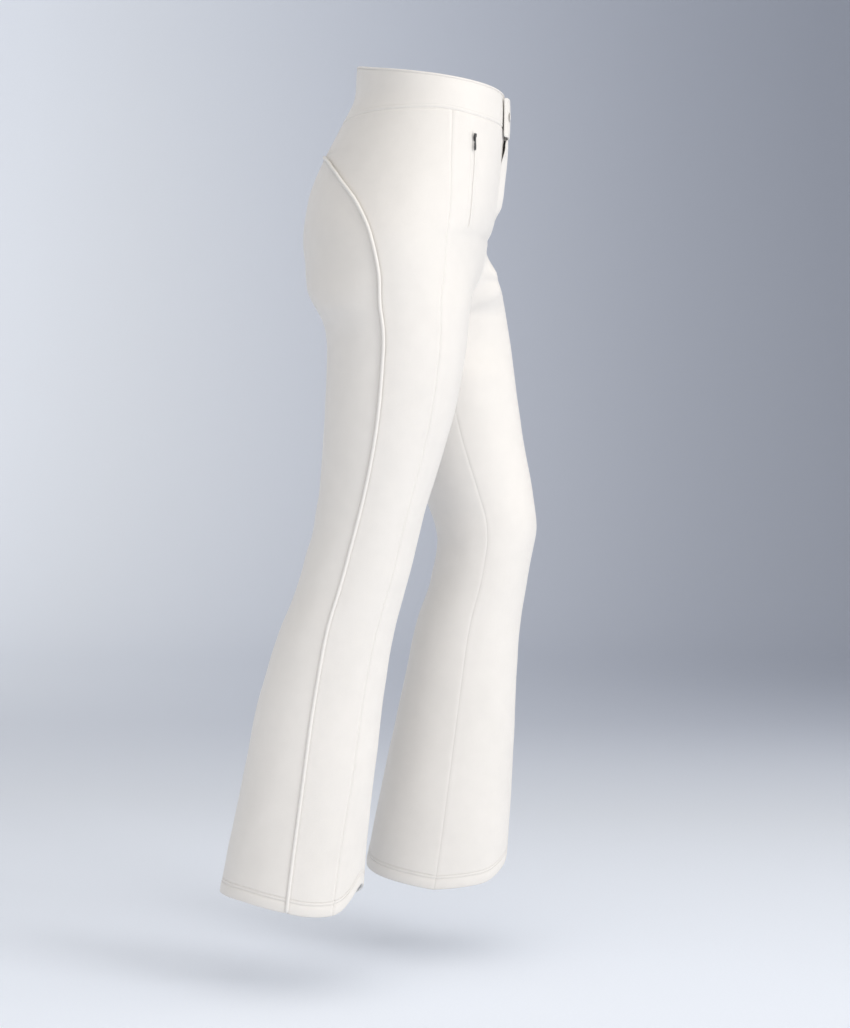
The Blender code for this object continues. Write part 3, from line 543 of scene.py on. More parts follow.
def woven(name, colour, shade, worn, pitch, relief, roughness, sheen, ribs, fuzz=0.0):
    """Woven or knitted cloth. Pitch is the two thread spacings and relief how deep the weave is, in metres.
    Ribs is how much of the weave is ribs along the cloth, and fuzz adds brushed fibres."""
    mat, shader, tree = begin(name, Sheen_Weight=sheen, Sheen_Roughness=0.45, Specular_IOR_Level=0.35)
    uv = node(tree, "UVMap", uv_map="cloth").outputs[0]
    place = node(tree, "TexCoord").outputs["Object"]
    split = node(tree, "SeparateXYZ", {0: uv})
    warp = sum_of(tree, "SINE", sum_of(tree, "MULTIPLY", split.outputs[0], 2 * math.pi / pitch[0]), 0)
    weft = sum_of(tree, "SINE", sum_of(tree, "MULTIPLY", split.outputs[1], 2 * math.pi / pitch[1]), 0)
    weave = sum_of(tree, "MULTIPLY", warp, weft)
    rib = sum_of(tree, "MULTIPLY", warp, ribs)
    height = sum_of(tree, "ADD", weave, rib)
    fibre = noise(tree, place, 2600, 1.0)
    height = sum_of(tree, "ADD", height, sum_of(tree, "MULTIPLY", fibre, 1.4 + 2.5 * fuzz))
    uneven = noise(tree, place, 55, 3.0)
    cloud = noise(tree, place, 7, 2.0)
    tint = clouded(tree, cloud, colour, shade)
    thread = between(tree, weave, 0.955, 1.0, (-1.0, 0.6))
    thread = sum_of(tree, "MULTIPLY", thread, between(tree, uneven, 0.985, 1.01))
    grey = node(tree, "CombineColor", {0: thread, 1: thread, 2: thread}).outputs[0]
    tint = mixed(tree, 1.0, tint, grey, "MULTIPLY")
    rubbed = node(tree, "Attribute", attribute_name="wear").outputs["Fac"]
    rubbed = sum_of(tree, "MULTIPLY", rubbed, between(tree, uneven, 0.55, 1.0))
    tint = mixed(tree, rubbed, tint, (*worn, 1))
    rough = between(tree, uneven, roughness - 0.05, roughness + 0.06)
    soft = bump(tree, uneven, 0.20, 0.0004, Normal=bump(tree, height, 0.55, relief))
    join(tree, shader, Base_Color=tint, Roughness=rough, Normal=soft)
    return mat


def hard(name, colour, shade, roughness, metallic=0.0, grain=0.0, coat=0.0):
    """Metal or enamel, with fine grain and handling marks."""
    mat, shader, tree = begin(name, Metallic=metallic, Coat_Weight=coat, Coat_Roughness=0.12)
    place = node(tree, "TexCoord").outputs["Object"]
    stretched = node(tree, "Mapping", {"Vector": place, "Scale": (1.0, 1.0, 0.08)}).outputs[0]
    lines = noise(tree, stretched, 3800, 2.0)
    smudge = noise(tree, place, 240, 3.0)
    tint = clouded(tree, smudge, colour, shade)
    grained = between(tree, lines, -0.05, 0.07)
    rough = sum_of(tree, "ADD", grained, between(tree, smudge, roughness - 0.04, roughness + 0.05))
    normal = bump(tree, lines, 0.3 + grain, 0.00002)
    join(tree, shader, Base_Color=tint, Roughness=rough, Normal=normal)
    return mat


def spun(name, colour, shade):
    """Sewing thread."""
    mat, shader, tree = begin(name, Sheen_Weight=0.3, Sheen_Roughness=0.4)
    twist = noise(tree, node(tree, "TexCoord").outputs["Object"], 5200, 2.0)
    tint, rough = clouded(tree, twist, colour, shade), between(tree, twist, 0.50, 0.66)
    join(tree, shader, Base_Color=tint, Roughness=rough, Normal=bump(tree, twist, 0.5, 0.00004))
    return mat


MATS = {
    "shell": woven("softshell_face", (0.79, 0.765, 0.735), (0.765, 0.742, 0.712), (0.60, 0.585, 0.56),
                   (0.00042, 0.00050), 0.00003, 0.74, 0.30, 0.35),
    "piping": woven("piping_cover", (0.82, 0.80, 0.77), (0.79, 0.77, 0.74), (0.62, 0.60, 0.58),
                    (0.00042, 0.00042), 0.00003, 0.66, 0.30, 0.2),
    "fleece": woven("bonded_fleece", (0.74, 0.735, 0.72), (0.70, 0.695, 0.685), (0.58, 0.57, 0.56),
                    (0.0009, 0.0012), 0.00007, 0.88, 0.55, 0.3, 1.0),
    "lining": woven("brushed_lining", (0.70, 0.70, 0.69), (0.665, 0.665, 0.66), (0.55, 0.55, 0.54),
                    (0.0007, 0.0009), 0.00006, 0.82, 0.40, 0.6, 0.5),
    "elastic": woven("grip_elastic", (0.20, 0.205, 0.22), (0.17, 0.175, 0.19), (0.28, 0.28, 0.30),
                     (0.0011, 0.0007), 0.00018, 0.68, 0.15, 1.4),
    "ribbon": woven("woven_ribbon", (0.66, 0.66, 0.665), (0.62, 0.62, 0.63), (0.52, 0.52, 0.52),
                    (0.0004, 0.0008), 0.00008, 0.52, 0.20, 0.2),
    "tape": woven("zip_tape_weave", (0.62, 0.605, 0.58), (0.58, 0.565, 0.545), (0.46, 0.45, 0.44),
                  (0.0006, 0.0005), 0.00008, 0.66, 0.20, 0.5),
    "coil": hard("zip_coil", (0.60, 0.59, 0.57), (0.55, 0.54, 0.52), 0.42),
    "nickel": hard("brushed_nickel", (0.60, 0.59, 0.57), (0.52, 0.51, 0.50), 0.28, 1.0, 0.4),
    "snap": hard("snap_enamel", (0.76, 0.74, 0.71), (0.72, 0.70, 0.67), 0.38, 0.0, 0.0, 0.25),
    "slider": hard("slider_enamel", (0.028, 0.029, 0.032), (0.045, 0.046, 0.050), 0.36, 0.0, 0.2, 0.35),
    "thread": spun("spun_thread", (0.80, 0.78, 0.75), (0.70, 0.68, 0.65)),
}

# ---- panels --------------------------------------------------------------------------------------
EDGE = np.array([0, 0.12, 0.3, 0.55, 0.85, 1.2, 1.7, 2.4, 3.3, 4.4, 5.8]) / 1000  # columns beside a seam
CELL = 0.0042  # how far apart a panel's other points are
HEM_LINES = (0.0136, 0.0176)  # the two rows of hem stitching, above the edge
SLIT_HALF = 0.0008  # half the width of the slit between the pocket's lips


def valley(d, depth=0.0008, width=0.0010):
    """How far cloth stands out beside a seam: sunk at the seam, and a little full over its allowance."""
    return 0.00020 * hump(d - 0.0040, 0.0024) - depth * np.exp(-((np.abs(d) / width) ** 1.25))


ROUND_BACK = 0.98  # how far the back of a rounded edge curls, beside its face


def rounded(d, radius):
    """How far a free edge curls in, within a radius of the edge."""
    t = np.clip(1 - d / radius, 0, 1)
    return radius * (1 - np.sqrt(np.maximum(1 - t * t, 0)))


def pucker(d, run, seed, reach=0.0055, height=0.00011):
    """Slight gathers beside a line of stitching."""
    wave = np.sin(run * 2 * math.pi / 0.0078 + seed + 1.7 * np.sin(run * 61 + seed))
    return height * wave * np.exp(-np.abs(d) / reach)


def centre_edge(sign, z):
    """A half's edge at the rise seam and the inseam, kept open beside the fly zip."""
    room = np.full_like(z, 0.02)
    if sign < 0:
        room = room + (math.degrees(0.004 / 0.140) - 0.02) * ease((z - FLY_BOTTOM_Z + 0.010) / 0.006)
    return sign * (end_angle(z) - room)


def front_seam(z):
    return through(FRONT_SEAM, z)


def side_seam(z):
    return np.minimum(through(SIDE_SEAM, z), centre_edge(1, z))


def pocket_angle(z):
    return through(POCKET_SEAM, z)


def pocket_line(z):
    """The line that divides the front panel: the pocket's slit, and further down the panel's middle."""
    half_way = (centre_edge(-1, z) + front_seam(z)) / 2
    return pocket_angle(z) + (half_way - pocket_angle(z)) * ease((-0.20 - z) / 0.10)


def heights(top):
    """Heights of a panel's rows, close together at the waist seam, at the crotch and at the hem."""
    fork_z = FORK_TOP_Z + (CROTCH_Z - FORK_TOP_Z) * np.cos(np.linspace(math.pi / 2, 0, 40))
    start = top - EDGE if top == BAND_ROW_Z else top - np.array([0, 0.3, 0.7, 1.2, 1.9, 2.8, 3.9, 5.2]) / 1000
    upper = np.arange(start[-1] - 0.003, FORK_TOP_Z + 0.0015, -0.0032)
    hem = np.concatenate([np.array([0, 0.12, 0.3, 0.55, 0.9, 1.4, 2.2, 3.4, 5, 7, 9, 11, 12.6]) / 1000,
                          np.arange(0.0135, 0.0200, 0.00033), np.array([0.0206, 0.0216, 0.0232])])
    lower = np.arange(CROTCH_Z - 0.0015, HEM_ROW_Z + 0.0255, -CELL)
    return np.concatenate([start, upper, fork_z, lower, HEM_ROW_Z + hem[::-1]])


def placed(length, lean, cells):
    """Distances along a row of that length, close together at both ends."""
    ends = [EDGE * np.minimum(1.0, length / 0.030) * k for k in lean]
    limit = 0.45 * length
    ends = [e * min(1.0, limit / max(e[-1], 1e-9)) for e in ends]
    mid = np.linspace(ends[0][-1], length - ends[1][-1], cells + 1)[1:-1]
    return np.concatenate([ends[0], mid, length - ends[1][::-1]])


def lean_of(side, edge, z):
    """How much longer a step along a row is than a step square to the seam."""
    slope = (edge(z + 0.002) - edge(z - 0.002)) / 0.004 * metres_per_degree(side, edge(z), z)
    return np.sqrt(1 + np.minimum(slope * slope, 30))


def lay_out(side, zs, edges, cells, slit=None):
    """Angles of a panel's points, row by row, and each point's distance square to the panel's edges."""
    leans = [lean_of(side, e, zs) for e in edges]
    angles, to_first, to_last, to_slit = [], [], [], []
    for r, z in enumerate(zs):
        a0, a1 = float(edges[0](zs[r:r + 1])[0]), float(edges[-1](zs[r:r + 1])[0])
        fine = np.linspace(a0, a1, 200)
        run = run_length(on_half(side, fine, row_height(fine, z)))
        marks = [0.0, run[-1]]
        if slit is not None:
            centre = np.interp(float(edges[1](zs[r:r + 1])[0]), fine, run)
            marks = [0.0, centre - slit[r], centre + slit[r], run[-1]]
        s = []
        for k in range(0, len(marks), 2):
            e0, e1 = (0, -1) if slit is None else ((0, 1), (1, 2))[k // 2]
            s.append(marks[k] + placed(marks[k + 1] - marks[k], (leans[e0][r], leans[e1][r]), cells[k // 2]))
        s = np.concatenate(s)
        angles.append(np.interp(s, run, fine))
        to_first.append(s / leans[0][r])
        to_last.append((run[-1] - s) / leans[-1][r])
        if slit is not None:
            to_slit.append(np.abs(s - centre) - slit[r])
    return [np.array(x) for x in (angles, to_first, to_last, to_slit)]


def hem_relief(above):
    """A turned-up hem: a little full, drawn in at its two rows of stitching."""
    full = 0.00055 * np.sin(np.clip(above / HEM_LINES[0], 0, 1) * math.pi) ** 0.8
    for line in HEM_LINES:
        full = full - 0.00042 * hump(above - line, 0.00060)
    return full - rounded(above, 0.0013) + 0.00016 * hump(above - 0.0156, 0.0012)


# A panel's first edge (0) and its last (1), going back round the leg.
FLY_SEAM = ("front", 0)
MIDDLE_SEAMS = (FLY_SEAM, ("back", 1))
PIPED = (("side", 1), ("back", 0))


def panel(side, part, edges, cells, top):
    """A cut panel of softshell, sunk at its seams, with its turned-up hem."""
    zs = heights(top)
    slit = None
    if part == "front":
        inside = ease((POCKET_TOP_Z - zs) / 0.003) * ease((zs - POCKET_FOOT_Z) / 0.003)
        slit = 0.0001 + (SLIT_HALF - 0.0001) * inside
    angles, first, last, beside = lay_out(side, zs, edges, cells, slit)
    z = row_height(angles, zs[:, None])
    above = z - hem_height(angles)
    below = (through(BAND_FOOT, angles) - z) if top == BAND_ROW_Z else np.full_like(z, 1.0)
    relief = np.zeros_like(z)
    for k, d in enumerate((first, last)):
        at = (part, k)
        shape = valley(d, 0.0010, 0.0017) if at in PIPED else valley(d)
        if at in MIDDLE_SEAMS:
            shape = shape * (1 - 0.6 * ease((CROTCH_Z + 0.02 - z) / 0.05))
        if at == FLY_SEAM:
            in_fly = ease((z - FLY_BOTTOM_Z + 0.008) / 0.008)
            shape = shape * (1 - in_fly) - rounded(d, 0.0009) * in_fly
        relief += shape + pucker(d, z, 2.1 * k + len(part))
    relief += valley(below, 0.0008, 0.0011) + pucker(below, angles * CLOTH_PER_DEGREE, 4.0)
    wear = 0.45 * np.exp(-above / 0.0020)
    keep = None
    if part == "front":
        depth_in = (ease((POCKET_TOP_Z - zs) / 0.004) * ease((zs - POCKET_FOOT_Z) / 0.004))[:, None]
        off = np.maximum(beside, 0)
        relief += depth_in * (0.00040 * hump(off - 0.0022, 0.0018) - rounded(off, 0.0008)
                              - 0.00030 * hump(off - 0.0052, 0.0006))
        wear = wear + 0.25 * depth_in * np.exp(-off / 0.0012)
        keep = np.ones((len(zs) - 1, angles.shape[1] - 1), bool)
        front_lip = cells[0] + 2 * len(EDGE) - 3  # the thin cell beside the slit, which is left open
        keep[(inside[:-1] > 0) & (inside[1:] > 0), front_lip] = False
    relief += hem_relief(above)
    outer = skin(side, angles, z, -relief)
    allowance = sum(0.0005 * (1 - ease((d - 0.006) / 0.001)) for d in (first, last))
    turned_up = 0.0021 * (1 - ease((above - 0.0012) / 0.0012))
    thickness = FABRIC + allowance * ease((above - 0.020) / 0.004) + turned_up
    at_hem = 0.8 * np.clip(rounded(above, 0.0013), 0, 1)
    inner = skin(side, angles, z, np.maximum(thickness, -relief + 0.0003) - at_hem)
    name = f"{side}_{part}_panel"
    uv = np.stack([first - first[:, :1] + run_length(outer, 1), z], -1)
    sheet(name + "_cloth", name, (outer, inner), [MATS["shell"], MATS["fleece"]], "softshell", "stretched",
          ["waistband_cloth"], keep=keep, wear=wear, uv=uv)


def panels(side):
    def edge_front(z):
        return centre_edge(-1, z)

    def edge_back(z):
        return centre_edge(1, z)

    panel(side, "front", (edge_front, pocket_line, front_seam), (17, 12), BAND_ROW_Z)
    panel(side, "side", (front_seam, side_seam), (18,), BAND_ROW_Z)
    panel(side, "back", (side_seam, edge_back), (34,), YOKE_ROW_Z)


def side_piping(side):
    """Covered cord sewn into the side seam, its neck down in the seam, with rounded ends."""
    z = np.concatenate([np.linspace(-0.0968, -0.150, 46), np.arange(-0.153, -0.9885, -0.0030), [-0.9895]])
    angle = through(SIDE_SEAM, z)
    high = row_height(angle, z)
    high = np.maximum(high, hem_height(angle) + 0.0004)
    wobble = 0.00008 * np.sin(z * 760 + 2 * np.sin(z * 170))
    proud = through([(-1.0, 0.0006), (-0.60, 0.0005), (-0.47, 0.0013), (-0.36, 0.0024), (-0.115, 0.0024),
                     (-0.098, 0.0008)], z)
    centre = skin(side, angle, high, -proud - wobble)
    out = outward(side, angle, high)
    covered = PIPING_RADIUS * 1.04
    turns = [math.radians(-62 + 304 * k / 13) for k in range(14)]
    section = [(covered * math.cos(t), covered * math.sin(t)) for t in turns]
    section += [(-0.00045, -0.0026), (0.00045, -0.0026)]
    run = run_length(centre)
    from_end = np.minimum(run, run[-1] - run)
    scale = np.sqrt(np.clip(from_end / 0.0012, 0.02, 1)) * (1 + 0.018 * np.sin(run * 2 * math.pi / 0.0061))
    swept(f"{side}_piping_cord", centre, out, section, scale, [MATS["piping"]], "garment",
          [f"{side}_side_piping"])


# ---- waistband -----------------------------------------------------------------------------------
WAIST_EDGE = -90 + math.degrees(0.0007 / 0.115)
BAND_LINE = 0.0042  # topstitching above the band's lower seam
RIM_LINE = 0.0030  # topstitching below its top edge


def waist_places(start, count):
    """Angles for both halves, from the right front round the back to the left front."""
    right = np.linspace(start, 90, count)
    return ("right", right), ("left", right[::-1][1:])


def waist_grid(start, count, high, depth):
    """A grid round the waist. high and depth give each row's height and depth for an array of angles."""
    halves = []
    for side, angles in waist_places(start, count):
        z = high(angles)
        halves.append(skin(side, np.broadcast_to(angles, z.shape), z, depth(angles)))
    halves[0][:, -1, 0] = 0.0
    return np.concatenate(halves, axis=1)


def band_rows():
    foot = np.array([0, 0.15, 0.4, 0.8, 1.3, 2.0, 2.9, 3.4, 3.8, 4.2, 4.6, 5.0, 5.6, 6.6]) / 1000
    head = np.array([8.0, 6.0, 4.6, 3.9, 3.5, 3.2, 3.0, 2.8, 2.4, 1.9, 1.4, 1.0, 0.65, 0.35, 0.15, 0.04, 0])
    return foot, np.linspace(0, 1, 12)[1:-1], head / 1000


def band_high(angles):
    foot, mid, head = band_rows()
    low, top = through(BAND_FOOT, angles), through(BAND_TOP, angles)
    a, b = low + foot[-1], top - head[0]
    rows = [low + f for f in foot] + [a + (b - a) * m for m in mid] + [top - h for h in head]
    return np.array(rows)


def band_shape(angles):
    """How far the waistband's outer face stands out."""
    z = band_high(angles)
    up, down = z - through(BAND_FOOT, angles), through(BAND_TOP, angles) - z
    turn, run = np.radians(angles), angles * WAIST_PER_DEGREE
    shape = valley(up, 0.0009, 0.0011) - 0.00034 * hump(up - BAND_LINE, 0.00055)
    shape = shape + 0.00030 * hump(up - 0.0021, 0.0013) + 0.00045 * hump(down - 0.0013, 0.0012)
    shape = shape - 0.00032 * hump(down - RIM_LINE, 0.00055) - rounded(down, 0.0012)
    shape = shape + 0.00030 * np.sin(np.clip(up / (up + down), 0, 1) * math.pi)
    shape = shape + pucker(up - BAND_LINE, run, 0.4) + pucker(down - RIM_LINE, run, 1.9)
    return shape + 0.00020 * np.sin(5 * turn + 90 * z) * ease(up / 0.01) * ease(down / 0.01)


def waistband():
    def inside(a):
        down = through(BAND_TOP, a) - band_high(a)
        plain = FABRIC + np.zeros_like(band_high(a)) - 0.0001 * rounded(down, 0.0012)
        return np.maximum(plain, -band_shape(a) + 0.0002)

    faces = [waist_grid(WAIST_EDGE, 100, band_high, d) for d in (lambda a: -band_shape(a), inside)]
    sheet("waistband_cloth", "waistband", faces, [MATS["shell"]], "softshell", "stretched")
    sew_band()
    inner_band("waistband_facing_cloth", "waistband_facing", WAIST_EDGE, 90, (0.0022, 0.0010),
               FABRIC + LAYER_GAP, 0.0010, "lining", "lining")
    step = (90 - WAIST_EDGE) / 14
    inner_band("waist_grip_band", "waist_grip_elastic", WAIST_EDGE + 9 * step, 40, (0.45, 0.80),
               FABRIC + 2 * LAYER_GAP + 0.0013, 0.0012, "elastic", "elastic", shares=True)


def inner_band(name, cad, start, count, reach, depth, thickness, mat, slot, shares=False):
    """A band inside the waistband, with rounded edges."""
    rows = np.array([0, 0.05, 0.15, 0.35, 0.7, 1.2, 2.0, 3.5]) / 1000
    mid = np.linspace(0, 1, 12)[1:-1]

    def limits(a):
        low, top = through(BAND_FOOT, a), through(BAND_TOP, a)
        if shares:
            return low + (top - low) * reach[0], low + (top - low) * reach[1]
        return low + reach[0], top - reach[1]

    def high(a):
        low, top = limits(a)
        p, q = low + rows[-1], top - rows[-1]
        middle_rows = [p + (q - p) * m for m in mid]
        return np.array([low + r for r in rows] + middle_rows + [top - r for r in rows[::-1]])

    def edge(a):
        low, top = limits(a)
        return np.minimum(high(a) - low, top - high(a))

    def wave(a):
        if slot != "elastic":
            return np.zeros_like(high(a))
        return 0.00022 * np.sin(high(a) * 2 * math.pi / 0.0031) * ease(edge(a) / 0.002)

    def face(a):
        return depth + rounded(edge(a), half)

    def back(a):
        return depth + thickness - rounded(edge(a), half * ROUND_BACK) - wave(a) * 0.5

    half = thickness / 2
    faces = [waist_grid(start, count, high, d) for d in (face, back)]
    sheet(name, cad, faces, [MATS[mat]], slot, "stretched", ["waistband_cloth"])


def waist_line(z_of, depth):
    halves = [face_line(side, a, z_of(a), depth) for side, a in waist_places(WAIST_EDGE + 1.0, 400)]
    return [np.concatenate(both) for both in zip(*halves)]


def sew_band():
    stitching("waistband", [sewn(*waist_line(lambda a: through(BAND_FOOT, a) + BAND_LINE, 0.0)),
                            sewn(*waist_line(lambda a: through(BAND_TOP, a) - RIM_LINE, -0.0001))])


# ---- hems, gaiters -------------------------------------------------------------------------------
def leg_ring(side, z, count):
    """Angles round a leg, evenly spaced along the cloth."""
    fine = np.linspace(-180, 180, 1441)
    run = run_length(on_half(side, fine, np.full_like(fine, z)))
    return np.interp(np.linspace(0, run[-1], count + 1)[:-1], run, fine)


def leg_faces(side, angles, z, *depths):
    """Both faces of a tube of cloth inside the leg."""
    grid = np.broadcast_to(angles, z.shape)
    return [skin(side, grid, z, depth + 0 * z) for depth in depths]


def hem(side):
    """The hem's two rows of stitching, and its facing inside the leg."""
    angles = leg_ring(side, -0.985, 900)
    runs = []
    for line in HEM_LINES:
        p, n = face_line(side, angles, hem_height(angles) + line, -0.00010)
        beside_piping = np.abs(angles - float(through(SIDE_SEAM, -0.975))) > 1.6
        for half in ((angles > -180) & (angles < 0), (angles > 0) & (angles < 180)):
            runs.append(sewn(p[half & beside_piping], n[half & beside_piping]))
    stitching(f"{side}_hem", runs)
    angles = leg_ring(side, -0.985, 150)
    up = np.array([1.5, 1.7, 2.2, 3.5, 5, 7, 9, 11, 13, 14.5, 15, 15.5, 16.5, 17.2, 17.6, 17.9, 18.0]) / 1000
    z = hem_height(angles)[None] + up[:, None]
    top = rounded((HEM_DEPTH - up), 0.0005)[:, None]
    base = FABRIC + LAYER_GAP + 0.0006
    bulge = -0.0002 * np.sin(np.clip(up / 0.015, 0, 1) * math.pi)[:, None]
    faces = leg_faces(side, angles, z, base + top, base + 0.0010 - top * 0.95 - bulge)
    sheet(f"{side}_hem_facing_cloth", f"{side}_hem_facing", faces, [MATS["shell"]], "lining", "folded",
          [f"{side}_front_panel_cloth"], wrap=True)


def gaiter(side):
    """The snow gaiter, gathered on to its grip elastic, inside the leg."""
    count = 420
    angles = leg_ring(side, -0.94, count)
    turn = np.arange(count) / count * 2 * math.pi
    phase = 0.6 if side == "left" else 0.0
    zs = np.linspace(GAITER_TOP_Z, GAITER_FOOT_Z + 0.0004, 44)
    stages = [(GAITER_TOP_Z, 0.0030), (-0.889, 0.0060), (-0.924, 0.0120), (GAITER_FOOT_Z, 0.0150)]
    depth = through(stages, zs)[:, None]
    share = ((GAITER_TOP_Z - zs) / (GAITER_TOP_Z - GAITER_FOOT_Z))[:, None]
    gather = np.sin(46 * turn + phase + 1.3 * np.sin(3 * turn))[None] * 0.0008 * share**1.5
    gather = gather + np.sin(23 * turn + 2 * share * math.pi + phase)[None][0] * 0.0007 * share
    gather = gather * (1 - 0.75 * ease((share - 0.86) / 0.05))
    z = np.broadcast_to(zs[:, None], (len(zs), count))
    faces = leg_faces(side, angles, z, depth + gather, depth + gather + 0.0007)
    sheet(f"{side}_gaiter_cloth", f"{side}_gaiter", faces, [MATS["lining"]], "lining", "gathered",
          [f"{side}_front_panel_cloth"], wrap=True)
    zs = GAITER_FOOT_Z + np.array([12, 11.95, 11.8, 11.4, 10, 8.5, 7, 5.5, 4, 2.5, 1, 0.4, 0.1, 0.0]) / 1000
    z = np.broadcast_to(zs[:, None], (len(zs), 200))
    edge = np.minimum(zs - GAITER_FOOT_Z, GAITER_FOOT_Z + 0.012 - zs)[:, None]
    ribs = 0.00018 * np.sin(zs * 2 * math.pi / 0.003)[:, None]
    faces = leg_faces(side, leg_ring(side, -0.965, 200), z, 0.0163 + rounded(edge, 0.0006),
                      0.0175 - rounded(edge, 0.00055) - ribs * ease(edge / 0.001))
    sheet(f"{side}_gaiter_grip", f"{side}_gaiter_elastic", faces, [MATS["elastic"]], "elastic", "stretched",
          [f"{side}_gaiter_cloth"], wrap=True)


# ---- fly and waist tab ---------------------------------------------------------------------------
def on_front(x, z, depth):
    """Points at a sideways place on the front, depth inside the outer face."""
    centre = middle("right", z)
    reach = through(TORSO_FRONT, z) - centre
    forward = centre + (reach - depth) * np.sqrt(1 - (x / through(OUTER, z)) ** 2)
    return np.stack(np.broadcast_arrays(x, -forward, z), -1)


def front_point(x, z, depth=0.0):
    return Vector(on_front(np.array(x), np.array(z), np.array(depth)).tolist())


def front_normal(x, z):
    n = on_front(x, z, -0.01) - on_front(x, z, 0.0)
    return n / np.linalg.norm(n, axis=-1, keepdims=True)


def leaf_outline(xs, top, foot, end, corner, rows):
    """Heights of a leaf's points: straight top and foot, with the corners at its free end rounded."""
    from_end = np.clip(xs - end, 0, corner)
    cut = corner - np.sqrt(np.maximum(corner**2 - (corner - from_end) ** 2, 0))
    high, low = top - cut, foot + cut
    return high[None] + (low - high)[None] * rows[:, None]


def evenly(x, z):
    return np.ones(np.shape(x))


def leaf(body, root, end, top, foot, corner, depth, thickness, anchor, stitch_in, thin=evenly):
    """A sewn flap of doubled cloth: anchored along its root, standing off the front, with a free end."""
    fine = np.array([0, 0.04, 0.12, 0.3, 0.6, 1.0, 1.5, 2.2, 3.0, 3.6, 4.0, 4.4, 5.0, 6.0]) / 1000
    xs = np.concatenate([end + fine, np.linspace(end + 0.0075, root + anchor - 0.003, 34),
                         root + anchor - np.array([0.0020, 0.0012, 0.0006, 0.0002, 0.0])])
    tall = top - foot
    rows = np.concatenate([fine, np.linspace(0.0075, tall - 0.0075, 26), (tall - fine)[::-1]]) / tall
    z = leaf_outline(xs, top, foot, end, corner, rows)
    x = np.broadcast_to(xs, z.shape)
    ends = np.minimum(z[:1] - z, z - z[-1:])
    from_edge = np.minimum(ends, x - end)

    def lift_of(x):
        return 1 - ease((x - root + 0.006) / (anchor + 0.002))

    def thick_of(x, z):
        return thickness * (0.55 + 0.45 * lift_of(x)) * thin(x, z)

    lifted, thick = lift_of(x), thick_of(x, z)
    stand = depth(x, z) * lifted + 0.00010 * (1 - lifted)
    half = thick / 2
    full = 0.00035 * ease((from_edge - stitch_in) / 0.006) - 0.00030 * hump(from_edge - stitch_in, 0.0005)
    full = full + pucker(from_edge - stitch_in, x + z, 0.8, 0.004, 0.00008)
    root_edge = rounded(root + anchor - x, 0.0006) * 0.6
    outer = on_front(x, z, -(stand + thick) - full + rounded(from_edge, half) + root_edge)
    inner = on_front(x, z, -stand - rounded(from_edge, half * ROUND_BACK) * lifted)
    obj = sheet(f"{body}_cloth", body, (outer, inner), [MATS["shell"]], "softshell", "hung",
                ["waistband_cloth"], body=None, wear=0.25 * np.exp(-from_edge / 0.0012))
    start = front_point(root + 0.0045, (top + foot) / 2, -0.002)
    stop = front_point(root - 0.0015, (top + foot) / 2, -0.002)
    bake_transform(obj)
    x, z = stitch_path(root, end, top, foot, corner, stitch_in)
    points = on_front(x, z, -(depth(x, z) * lift_of(x) + thick_of(x, z)) + 0.0001)
    stitching(body, [sewn(points, front_normal(x, z), 0.0028)], body)


def stitch_path(root, end, top, foot, corner, inset):
    """Evenly spaced places on a leaf's row of stitching, out along its top, round its end and back."""
    line = np.linspace(root - 0.003, end + inset + corner * 0.35, 60)
    near_end = np.linspace(0, math.pi / 2, 14)
    radius = max(corner - inset, 0.001)
    arc_x, arc_z = end + inset + radius * (1 - np.sin(near_end)), radius * (1 - np.cos(near_end))
    straight = [v for v in line if v > arc_x[0]]
    top_line = [(v, top - inset) for v in straight] + [(u, top - inset - v) for u, v in zip(arc_x, arc_z)]
    foot_line = [(u, foot + inset + v) for u, v in zip(arc_x, arc_z)][::-1]
    path = np.array(top_line + foot_line + [(v, foot + inset) for v in straight[::-1]])
    run = run_length(path)
    even = np.linspace(0, run[-1], 500)
    return np.interp(even, run, path[:, 0]), np.interp(even, run, path[:, 1])


def tab_depth(x, z):
    lift = [(TAB_ROOT, 0.0), (0.010, 0.0004), (-0.004, 0.0007), (-0.017, 0.0008), (-0.028, 0.0007),
            (TAB_END, 0.0005)]
    return (0.0042 + 0.3 * through(lift, x)) * (1 - 0.55 * ease((-0.0285 - x) / 0.0055))


def flap_depth(x, z):
    """Tented over the zip. Its free edge stands open at the top, and comes down to the panel further down."""
    tent = 0.0030 + through([(FLAP_ROOT, 0), (0.000, 0.0006), (-0.014, 0.0010), (FLAP_END, 0.0008)], x)
    closed = ease((-0.086 - z) / 0.024) * ease((-0.006 - x) / 0.019)
    settled = 1 - 0.95 * ease((-0.156 - z) / (-0.156 - FLAP_FOOT_Z))
    return np.maximum(tent * settled * (1 - 0.97 * closed), 0.00012) - 0.0004 * closed


def flap_thin(x, z):
    """The share of its thickness that the flap keeps: less along its free edge and towards its foot."""
    edge = ease((-0.080 - z) / 0.030) * ease((-0.012 - x) / 0.017)
    return (1 - 0.75 * edge) * (1 - 0.70 * ease((-0.140 - z) / (-0.140 - FLAP_FOOT_Z)))


def zip_coil(name, line, length, pitch, reach, radius, offset):
    """The links of a zip's coil: short bars from the tape to the middle, by turns from each side.
    line gives the points and the ways out, at shares of its length and at a distance from the middle."""
    runs = []
    for sign, phase in ((-1, 0.25), (1, 0.75)):
        count = int(length / pitch)
        t = (np.arange(count) + phase) / count
        a, up = line(t, sign * reach)
        b = line(t, -sign * 0.0003)[0]
        runs.append((a - up * offset, b - up * offset, up, radius, 0.00025))
    capsules(name, runs, MATS["coil"], "garment", sides=8)


def tape_edge(x, columns):
    """How far points of a zip tape are from its nearer edge."""
    return np.minimum(np.abs(x) - columns[0], columns[-1] - np.abs(x))


